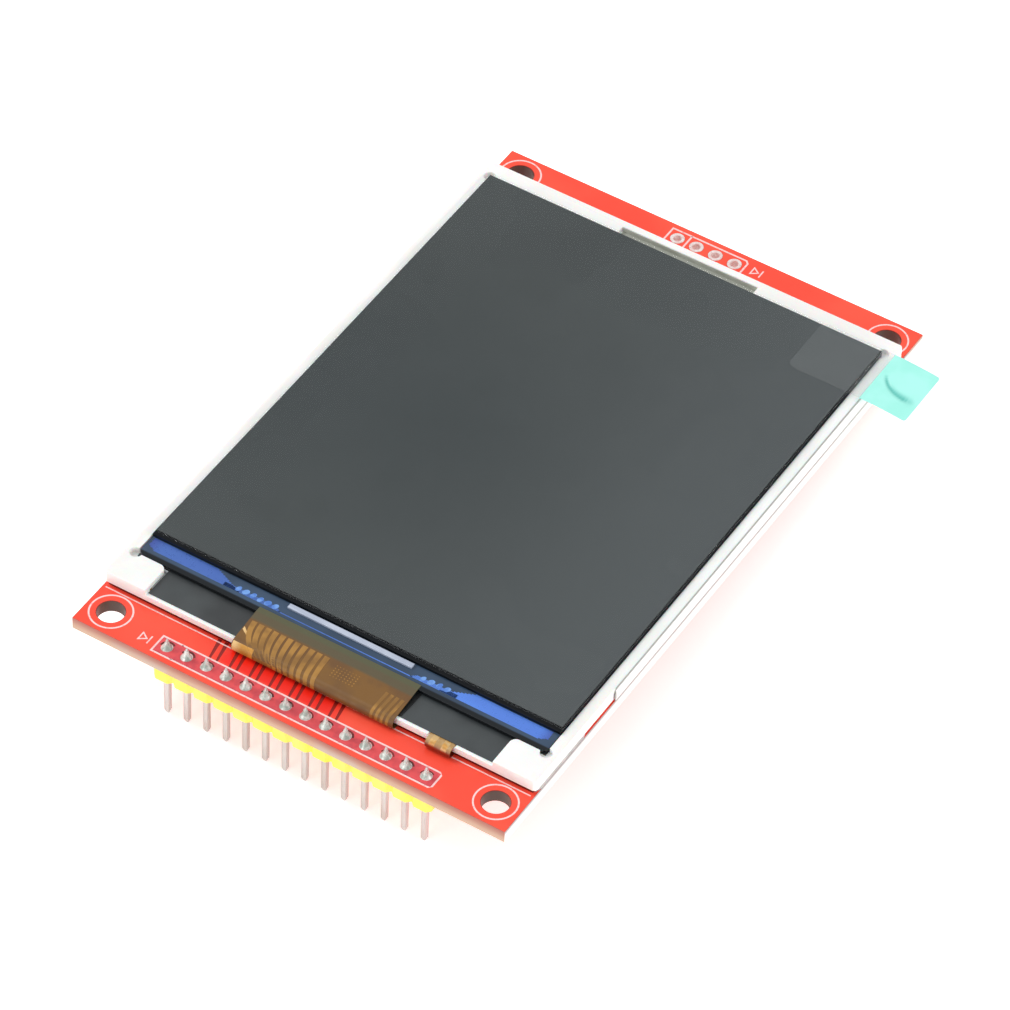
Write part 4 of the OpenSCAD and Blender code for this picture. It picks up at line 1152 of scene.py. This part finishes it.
class MODULE_OT_flex(bpy.types.Operator):
    """Makes the folded flexible circuits with their copper tracks"""
    bl_idname = "module.flex"
    bl_label = "Flexible circuits"

    def execute(self, context):
        look = context.scene.module_flex
        fold = flex_fold(look)
        half = look.thickness / 2
        bm = bmesh.new()
        fold.sheet(bm, FLEX_LOW.x, FLEX_HIGH.x, -half, half, columns=12)
        # polyimide film, laminated over copper: amber satin, olive where it is bonded to glass
        s = Surface("polyimide_film_laminated", look.film, Roughness=0.5, IOR=1.45)
        s.drift(linear("#6b4a26"), 3)
        s.tint(s.beyond(s.axis(1), GLASS_LOW.y - 1.2 * MM, 0.22 * MM), look.bond)
        s.tint(s.beyond(s.axis(1), GLASS_LOW.y - 0.15 * MM, 0.2 * MM), linear("#55553c"))
        s.rough(0.44, 0.56, 1.5)
        s.grain(0.3, 0.004)
        piece("display_flex_film", bm, s.material, "amber_film", "display_flex", smooth=60)
        self.tracks(look, fold)
        self.bead()
        self.tail(look)
        return {"FINISHED"}

    def tracks(self, look, fold):
        """Copper seen through the film: two groups of tracks, a wide area and a patch of dots."""
        half = look.thickness / 2
        low, high = half - 0.004 * MM, half + look.relief
        left, end = FLEX_LOW.x, fold.length - 2 * MM
        # where the sweep starts, and where all tracks are straight again, as lengths of the film
        start, bend = 2.0 * MM, 5.9 * MM
        fine, wide, narrow = 0.15 * MM, 0.5 * MM, 0.34 * MM
        bm = bmesh.new()
        count, steps = 11, 10
        for k in range(count):
            u = k / (count - 1)
            # each track leaves the glass straight and then sweeps to the right, the first one most
            x, sweep = left + (0.72 + 9.3 * u) * MM, (0.4 + 2.1 * (1 - u) ** 2.2) * MM
            route = [(x + sweep * v * v, start + (bend - start) * (1.3 * v - 0.3 * v * v))
                     for v in (i / steps for i in range(steps + 1))]
            raised_line(bm, route, (0.66 * MM, wide), low, high, fold.at, step=fine)
            onward = [(x + sweep, bend), (x + sweep, end)]
            raised_line(bm, onward, wide, low, high, fold.at, step=fine)
        for k in range(4):
            x = FLEX_HIGH.x - (2.75 - 0.66 * k) * MM
            route = [(x + 0.25 * MM, 2.7 * MM), (x, bend)]
            raised_line(bm, route, (0.42 * MM, narrow), low, high, fold.at, step=0.3 * MM)
            raised_line(bm, [(x, bend), (x, end)], narrow, low, high, fold.at, step=fine)
        dots, dot = 8, 0.13 * MM
        for i in range(dots):
            for j in range(5):
                x, s0 = left + (11.5 + 2.8 * i / (dots - 1)) * MM, (2.4 + 0.36 * j) * MM
                fold.sheet(bm, x, x + dot, low, high - 0.01 * MM, s0, s0 + dot)
        # copper foil, etched, under polyimide: warm lines, brighter than the film between them
        s = Surface("copper_foil_etched_under_polyimide", look.copper, Roughness=0.5, IOR=1.45)
        s.drift(linear("#87602a"), 2)
        s.rough(0.44, 0.56, 0.8)
        piece("display_flex_tracks", bm, s.grain(0.2, 0.003).material, "amber_film")
        bm = bmesh.new()
        fold.sheet(bm, left + 0.1 * MM, left + 2.7 * MM, low, half + look.relief * 0.7,
                   (3.1 * MM, 5.2 * MM), end, columns=6)
        # wide copper under polyimide: gold where the film is thin over it
        s = Surface("copper_area_under_polyimide", look.area, Roughness=0.48, IOR=1.45)
        s.drift(linear("#a8742c"), 1.8)
        s.tint(s.within(s.axis(0), left + 0.8 * MM, 0.6 * MM), linear("#e3bd80"))
        piece("display_flex_copper", bm, s.grain(0.3, 0.004).material, "amber_film", smooth=60)

    def bead(self):
        """A black strip on the rim tape along the right edge of the film: a painted shadow of the
        film's edge.
        """
        low = RIM_HIGH.z
        x = FLEX_HIGH.x + 0.2 * MM
        bm = bmesh.new()
        route = [
            (x, GLASS_LOW.y - 0.05 * MM), (x, GLASS_LOW.y - 1.6 * MM),
            (x - 0.06 * MM, FRAME_LOW.y + 0.5 * MM),
        ]
        raised_line(bm, route, (0.5 * MM, 0.3 * MM), low - SUNK, low + 0.07 * MM, step=0.4 * MM)
        # painted shadow: black with a dull shine
        s = Surface("black_painted_shadow_strip", linear("#08090a"), Roughness=0.55, IOR=1.45)
        s.drift(linear("#14181a"), 0.8)
        piece("flex_edge_painted_shadow", bm, s.grain(0.3, 0.01).material, "black_film")

    def tail(self, look):
        """The diodes' strip: flat part over the diodes, and the tail that folds round the rail."""
        fold = led_fold()
        half = TAIL_THICKNESS / 2
        rail, play = 0.9 * MM, 0.15 * MM
        red_below = BOARD_TOP + 1.05 * MM
        bm = bmesh.new()
        fold.sheet(bm, TAIL_X - TAIL_WIDTH / 2, TAIL_X + TAIL_WIDTH / 2, -half, half, columns=4)
        strip = box_points(LED_LOW.x, FRAME_LOW.y + rail + play, LED_HIGH.x, LED_HIGH.y)
        slab(bm, strip, LED_HIGH.z - TAIL_THICKNESS, LED_HIGH.z)
        # polyimide over gold-plated copper: light gold on the rail, red-brown where it turns
        # down, and pale under the white cover film that runs over the diodes
        s = Surface("polyimide_tail_gold_plated", look.gold, Roughness=0.42, IOR=1.5)
        s.drift(linear("#b08a55"), 0.8)
        s.tint(s.within(s.axis(2), red_below, 0.3 * MM), linear("#86260a"))
        s.tint(s.beyond(s.axis(1), FRAME_LOW.y + 1.25 * MM), linear("#c9cccb"))
        s.rough(0.36, 0.5, 0.6)
        s.grain(0.2, 0.003)
        piece("diode_strip", bm, s.material, "amber_film", "led_flex", smooth=60)
        bm = bmesh.new()
        for x in (TAIL_X - 0.75 * MM, TAIL_X + 0.75 * MM):
            raised_line(bm, [(x, 0.9 * MM), (x, fold.length - 0.3 * MM)], 0.7 * MM,
                        half - 0.004 * MM, half + 0.02 * MM, fold.at, step=0.15 * MM)
        # gold-plated copper: warm and bright, red-brown where it turns down
        s = Surface("gold_plated_copper_tracks", linear("#dcba83"), Metallic=0.4, Roughness=0.34)
        s.drift(linear("#d39c50"), 0.7)
        s.tint(s.within(s.axis(2), red_below, 0.3 * MM), linear("#943512"))
        piece("diode_strip_tracks", bm, s.grain(0.15, 0.003).material, "gold_plate")


# ---- pull tab and side tape ----

class MODULE_OT_tabs(bpy.types.Operator):
    """Makes the creased pull tab and the white tape down the side"""
    bl_idname = "module.tabs"
    bl_label = "Pull tab and side tape"

    def execute(self, context):
        look = context.scene.module_tab
        self.pull_tab(look)
        # white polyester tape, wrapped by hand: satin, a little wavy along its length
        s = Surface("polyester_tape_white_wrapped", look.tape, Roughness=0.45, IOR=1.5)
        s.drift(linear("#eceaea"), 4)
        # painted shade: its cut edges are grey, the lower one darker, as the shade along them
        tape_low, tape_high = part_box("side_tape")
        z, edge_shade = s.axis(2), linear("#aaa9a4")
        s.tint(s.beyond(z, tape_high.z - 0.14 * MM, 0.04 * MM), edge_shade)
        s.tint(s.within(z, tape_low.z + 0.34 * MM, 0.14 * MM), linear("#7b7773"))
        s.tint(s.within(s.axis(1), tape_low.y + 0.22 * MM, 0.1 * MM), edge_shade)
        s.rough(0.38, 0.52, 3)
        s.grain(2.5, 0.05)
        eased("wrapped_tape", "side_tape", 0.03 * MM, s.grain(0.2, 0.003).material, "white_tape")
        return {"FINISHED"}

    def pull_tab(self, look):
        """Clear on the screen, mint where it stands free, with one curved crease in it."""
        edge = SCREEN_HIGH.x + 0.3 * MM
        drop, thickness = 0.5 * MM, 0.06 * MM
        columns, rows = 130, 70
        x0, x1, y0, y1 = TAB_LOW.x, TAB_HIGH.x, TAB_LOW.y, TAB_HIGH.y
        # the crease runs in a C across the free part
        start, bend, end = (
            Vector((FRAME_HIGH.x + x * MM, y0 + y * MM))
            for x, y in ((1.0, 4.7), (2.1, 2.75), (4.9, 2.95))
        )
        steps = 14
        crease_line = [
            start * (1 - u) ** 2 + bend * 2 * u * (1 - u) + end * u * u
            for u in (k / steps for k in range(steps + 1))
        ]

        def height(x, y):
            fall = max(0.0, (x - edge) / (x1 - edge))
            z = TAB_HIGH.z - thickness / 2 - drop * fall * fall
            return z - look.crease * crease(x, y) * min(1.0, fall * 3)

        def crease(x, y):
            """1 along the crease and 0 away from it, less at its ends."""
            spot = Vector((x, y))
            off, k = min(((spot - c).length, k) for k, c in enumerate(crease_line))
            width = (0.22 + 0.3 * k / steps) * MM
            return math.exp(-((off / width) ** 2)) * min(1.0, 0.5 + 4 * min(k, steps - k) / steps)

        def place(i, j):
            """Grid point; the four corners are drawn in to a radius."""
            x, y = x0 + (x1 - x0) * i / columns, y0 + (y1 - y0) * j / rows
            radius = 1.0 * MM if i < columns / 2 else 0.35 * MM
            cx = min(max(x, x0 + radius), x1 - radius)
            cy = min(max(y, y0 + radius), y1 - radius)
            off = Vector((x - cx, y - cy))
            if off.x and off.y:
                reach = max(abs(off.x), abs(off.y))
                off = off.normalized() * reach
            return cx + off.x, cy + off.y

        bm = bmesh.new()
        fold = bm.verts.layers.float.new("fold")
        layers = []
        for lift in (thickness / 2, -thickness / 2):
            grid = []
            for i in range(columns + 1):
                line = []
                for j in range(rows + 1):
                    x, y = place(i, j)
                    vertex = bm.verts.new((x, y, height(x, y) + lift))
                    vertex[fold] = crease(x, y)
                    line.append(vertex)
                grid.append(line)
            layers.append(grid)
        upper, lower = layers
        for i in range(columns):
            for j in range(rows):
                for grid in layers:
                    bm.faces.new((
                        grid[i][j], grid[i + 1][j], grid[i + 1][j + 1], grid[i][j + 1],
                    ))
        for i in range(columns):
            for j in (0, rows):
                bm.faces.new((upper[i][j], upper[i + 1][j], lower[i + 1][j], lower[i][j]))
        for j in range(rows):
            for i in (0, columns):
                bm.faces.new((upper[i][j], upper[i][j + 1], lower[i][j + 1], lower[i][j]))
        # polyester film, printed mint on its free part: satin, clear where it lies on the screen
        s = Surface("polyester_film_mint_die_cut", look.mint, Roughness=0.35, IOR=1.6)
        s.drift(linear("#a2f4e6"), 3)
        # painted shade: darker teal along the crease, as the shade in it
        s.tint(add(s.tree, "Attribute", attribute_name="fold").outputs["Fac"], look.fold)
        s.rough(0.3, 0.42, 2)
        s.grain(0.3, 0.004)
        free = s.beyond(s.axis(0), FRAME_HIGH.x + 0.15 * MM, 0.06 * MM)
        held = add(s.tree, "Math", {0: 1.0, 1: free}, operation="SUBTRACT").outputs[0]
        s.tint(held, look.clear)
        s.feed("Alpha", add(s.tree, "MapRange", {"Value": free, "To Min": 0.07}).outputs[0])
        piece("pull_tab_film", bm, s.material, "mint_film", "pull_tab", smooth=60)


# ---- memory card socket and small parts ----

def solder_slope(bm, low, high, axis, way, reach, height):
    """A hollow slope of solder from one end of a part down to its pad."""
    steps, flare = 6, 0.2
    rings = []
    for k in range(steps + 1):
        u = k / steps
        out, h = reach * u, -height * (1 - u) ** 2
        edge = (high if way > 0 else low)[axis] + way * out
        start, end = low[1 - axis] - flare * out, high[1 - axis] + flare * out
        corners = ((start, h), (end, h), (end, 0.0), (start, 0.0))
        rings.append([
            bm.verts.new((edge, c, z) if axis == 0 else (c, edge, z)) for c, z in corners
        ])
    skin(bm, rings)


def solids_of(node):
    """Boxes of the separate solids in a node."""
    bm = cleaned(node)
    left, boxes = set(bm.verts), []
    while left:
        stack, seen = [left.pop()], []
        while stack:
            vertex = stack.pop()
            seen.append(vertex.co.copy())
            for edge in vertex.link_edges:
                other = edge.other_vert(vertex)
                if other in left:
                    left.remove(other)
                    stack.append(other)
        boxes.append((Vector([min(c[i] for c in seen) for i in range(3)]),
                      Vector([max(c[i] for c in seen) for i in range(3)])))
    bm.free()
    return boxes


class MODULE_OT_socket(bpy.types.Operator):
    """Finishes the memory card socket: moulded base, folded cover and sprung contacts"""
    bl_idname = "module.socket"
    bl_label = "Card socket"

    def execute(self, context):
        look = context.scene.module_socket
        # liquid crystal polymer, injection moulded: dense black, satin, with faint flow marks
        s = Surface("liquid_crystal_polymer_moulded", look.plastic, Roughness=0.48, IOR=1.6)
        s.drift(linear("#34343a"), 2.5, stretch=(0.3, 1, 1))
        s.rough(0.4, 0.56, 1.5)
        s.grain(0.1, 0.005)
        eased("socket_base", "card_socket_base", look.edge, s.material, "black_plastic")
        # stainless steel strip, rolled and punched: bright grey with fine lines along the rolling
        s = Surface("stainless_strip_rolled_and_punched", look.steel, Metallic=1.0, Roughness=0.3)
        s.drift(linear("#b7babc"), 6, stretch=(0.2, 1, 1))
        s.rough(0.22, 0.38, 0.5, stretch=(0.04, 3, 1))
        s.grain(0.09, 0.0015, stretch=(0.03, 2, 1))
        eased("socket_cover", "card_socket_shell", 0.05 * MM, s.material, "steel_sheet")
        # phosphor bronze, punched and gold flashed: warm bright springs, duller at the tails
        s = Surface("phosphor_bronze_gold_flashed", look.gold, Metallic=1.0, Roughness=0.28)
        s.drift(linear("#c79b45"), 0.9)
        s.rough(0.2, 0.38, 0.5)
        s.grain(0.1, 0.002)
        eased("socket_contacts", "card_contacts", 0.03 * MM, s.material, "gold_plate", angle=25)
        return {"FINISHED"}


class MODULE_OT_small_parts(bpy.types.Operator):
    """Finishes the regulator, the transistor and the chip parts, and solders them down"""
    bl_idname = "module.small_parts"
    bl_label = "Small parts"

    def execute(self, context):
        # black epoxy, transfer moulded: matt, speckled with filler
        s = Surface("epoxy_transfer_moulded", linear("#232327"), Roughness=0.6, IOR=1.55)
        s.drift(linear("#3a3a3f"), 0.16, share=0.5, low=0.55, high=0.75)
        s.rough(0.52, 0.7, 0.8)
        epoxy = s.grain(0.08, 0.008).material
        for name, node, radius in (
            ("regulator_package", "voltage_regulator", 0.06 * MM),
            ("transistor_package", "backlight_transistor", 0.05 * MM),
        ):
            eased(name, node, radius, epoxy, "black_resin", angle=20)
        # copper alloy leads, punched and tin plated: soft grey shine
        s = Surface("copper_lead_tin_plated", linear("#d6d7d5"), Metallic=1.0, Roughness=0.32)
        s.drift(linear("#b4b6b5"), 0.5)
        s.rough(0.24, 0.44, 0.3)
        tin = s.grain(0.1, 0.003).material
        eased("leads", "package_leads", 0.03 * MM, tin, "tin_plate", angle=20)
        eased("chip_caps", "chip_end_metal", 0.03 * MM, tin, "tin_plate")
        # resistor glass over alumina, screen printed and fired: black gloss
        s = Surface("resistor_glaze_fired", linear("#1d1f22"), Roughness=0.25, IOR=1.6)
        s.drift(linear("#2c2f33"), 0.5)
        s.grain(0.1, 0.003)
        eased("resistor_bodies", "resistors", 0.03 * MM, s.material, "resistor_body")
        # barium titanate, sintered: dull tan with a fine speckle
        s = Surface("barium_titanate_sintered", linear("#b48d5e"), Roughness=0.55, IOR=1.7)
        s.drift(linear("#9b754a"), 0.25)
        s.grain(0.08, 0.004)
        eased("capacitor_bodies", "capacitors", 0.04 * MM, s.material, "capacitor_body")
        self.fillets()
        return {"FINISHED"}

    def fillets(self):
        """Solder on the ends of the chip parts, on the leads and on the socket's feet and tails."""
        bm = bmesh.new()
        # every pad is a thin flat layer of solder on the board
        pad = -0.035 * MM, 0.001 * MM
        margin = 0.03 * MM
        for low, high in solids_of("resistors") + solids_of("capacitors"):
            low, high = low - Vector((margin,) * 3), high + Vector((margin,) * 3)
            axis = 0 if high.x - low.x > high.y - low.y else 1
            for way in (-1, 1):
                solder_slope(bm, low, high, axis, way, 0.38 * MM, -low.z * 0.75)
        # toes of the package leads, which point away from the middle of their package
        toe = Vector((0.08 * MM, 0.02 * MM, 0))
        for low, high in solids_of("package_leads"):
            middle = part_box("voltage_regulator" if low.x < 0 else "backlight_transistor")
            way = 1 if low.y + high.y > middle[0].y + middle[1].y else -1
            solder_slope(bm, low - toe, high + toe, 1, way, 0.34 * MM, 0.2 * MM)
            x = (low.x + high.x) / 2
            edge = high.y + toe.y if way > 0 else low.y - toe.y
            ends = [(x, edge - way * 0.6 * MM), (x, edge + way * 0.36 * MM)]
            raised_line(bm, ends, high.x - low.x + 0.3 * MM, *pad)
        # tails of the contacts, behind the socket
        for low, high in solids_of("card_contacts"):
            y = (low.y + high.y) / 2
            ends = [(high.x - 0.9 * MM, y), (high.x + 0.45 * MM, y)]
            raised_line(bm, ends, 1.15 * MM, *pad)
            solder_slope(bm, low, high, 0, 1, 0.34 * MM, 0.2 * MM)
        # feet of the cover
        half = 0.9 * MM
        for x in (SHELL_LOW.x + 2.3 * MM, SHELL_HIGH.x - 2.3 * MM):
            for way, edge in ((-1, SHELL_LOW.y), (1, SHELL_HIGH.y)):
                y = edge + way * 0.01 * MM
                low, high = Vector((x - half, y, 0)), Vector((x + half, y, 0))
                solder_slope(bm, low, high, 1, way, 0.4 * MM, 0.24 * MM)
                ends = [(x, edge - way * 0.5 * MM), (x, edge + way * 0.5 * MM)]
                raised_line(bm, ends, 2.2 * MM, *pad)
        # lead-free solder, reflowed: bright grey slopes
        s = Surface("tin_solder_reflowed", linear("#d9dcd9"), Metallic=0.95, Roughness=0.24)
        s.drift(linear("#b3b9b4"), 0.4)
        s.rough(0.16, 0.36, 0.3)
        piece("solder_fillets", bm, s.grain(0.15, 0.006).material, "solder", smooth=60)


# ---- floor, light and camera ----

class MODULE_OT_stage(bpy.types.Operator):
    """Sets the floor, the soft studio light and the camera"""
    bl_idname = "module.stage"
    bl_label = "Stage"

    def execute(self, context):
        look = context.scene.module_stage
        self.floor(look)
        self.lights(context, look)
        self.camera(context, look)
        context.scene.view_settings.view_transform = "Standard"
        return {"FINISHED"}

    def floor(self, look):
        """A pale floor under the pin tips and the socket; it can be looked through from below."""
        near, far = ROW_Y, SHELL_HIGH.y - 0.1 * MM
        slope = (SHELL_LOW.z - PINS_LOW.z) / (far - near)
        size = 2.5
        bm = bmesh.new()
        corners = [
            bm.verts.new((x, y, PINS_LOW.z - 0.02 * MM + slope * (y - near)))
            for x, y in box_points(-size, -size, size, size)
        ]
        bm.faces.new(corners)
        mesh = bpy.data.meshes.new("floor")
        bm.normal_update()
        bm.to_mesh(mesh)
        bm.free()
        obj = bpy.data.objects.new("floor", mesh)
        bpy.context.scene.collection.objects.link(obj)
        # painted board, rolled: matt and nearly white
        s = Surface("painted_board_rolled", look.floor, Roughness=0.8, Specular_IOR_Level=0.2,
                    Emission_Color=linear("#ffffff"), Emission_Strength=look.glow)
        s.drift(linear("#f8f8f6"), 60)
        s.grain(3, 0.02)
        back = add(s.tree, "NewGeometry").outputs["Backfacing"]
        clear = add(s.tree, "BsdfTransparent")
        both = add(s.tree, "MixShader", {0: back, 1: s.shader.outputs[0], 2: clear.outputs[0]})
        output = next(n for n in s.tree.nodes if n.type == "OUTPUT_MATERIAL")
        s.tree.links.new(both.outputs[0], output.inputs["Surface"])
        mesh.materials.append(s.material)

    def lights(self, context, look):
        """Even white surroundings, a soft box above, and weaker ones at the side and in front."""
        world = bpy.data.worlds.new("studio")
        world.use_nodes = True
        context.scene.world = world
        back = world.node_tree.nodes["Background"]
        back.inputs["Color"].default_value = linear("#ffffff")
        back.inputs["Strength"].default_value = look.sky
        for name, place, size, power in (
            ("key_box", (-0.6, -0.05, 0.6), 0.35, 3.6), ("side_box", (0.62, 0.1, 0.2), 0.4, 1.8),
            ("front_box", (-0.15, -0.7, 0.16), 0.4, 1.15),
        ):
            light = bpy.data.lights.new(name, "AREA")
            light.size = size
            light.energy = power
            obj = bpy.data.objects.new(name, light)
            obj.location = place
            obj.rotation_mode = "QUATERNION"
            obj.rotation_quaternion = (-Vector(place)).to_track_quat("-Z", "Y")
            context.scene.collection.objects.link(obj)

    def camera(self, context, look):
        """A long lens that looks down at the module's corner, rolled a little."""
        turn, tilt, roll = math.radians(30.29), math.radians(46.06), math.radians(2.53)
        ahead = Vector((
            -math.sin(turn) * math.cos(tilt), math.cos(turn) * math.cos(tilt), -math.sin(tilt),
        ))
        level = Vector((math.cos(turn), math.sin(turn), 0))
        upward = level.cross(ahead)
        right = level * math.cos(roll) + upward * math.sin(roll)
        up = right.cross(ahead)
        data = bpy.data.cameras.new("camera")
        data.lens = look.lens
        data.sensor_width = 36
        data.clip_start, data.clip_end = 0.01, 10
        obj = bpy.data.objects.new("camera", data)
        context.scene.collection.objects.link(obj)
        obj.matrix_world = Matrix((right, up, -ahead)).transposed().to_4x4()
        obj.location = look.eye
        context.scene.camera = obj


OPERATORS = (
    MODULE_OT_board, MODULE_OT_header, MODULE_OT_backlight, MODULE_OT_frame, MODULE_OT_cell,
    MODULE_OT_flex, MODULE_OT_tabs, MODULE_OT_socket, MODULE_OT_small_parts, MODULE_OT_stage,
)


class MODULE_PT_pieces(bpy.types.Panel):
    """Lists the pieces of the display module"""
    bl_label = "Display Module"
    bl_idname = "MODULE_PT_pieces"
    bl_space_type = "VIEW_3D"
    bl_region_type = "UI"
    bl_category = "Display Module"

    def draw(self, context):
        for operator in OPERATORS:
            self.layout.operator(operator.bl_idname)


CLASSES = (*SETTINGS.values(), *OPERATORS, MODULE_PT_pieces)


def register():
    for cls in CLASSES:
        bpy.utils.register_class(cls)
    for name, group in SETTINGS.items():
        setattr(bpy.types.Scene, name, PointerProperty(type=group))


def unregister():
    for name in SETTINGS:
        delattr(bpy.types.Scene, name)
    for cls in reversed(CLASSES):
        bpy.utils.unregister_class(cls)


def main():
    """Makes every piece."""
    register()
    for operator in OPERATORS:
        group, name = operator.bl_idname.split(".")
        getattr(getattr(bpy.ops, group), name)()


if __name__ == "__main__":
    main()
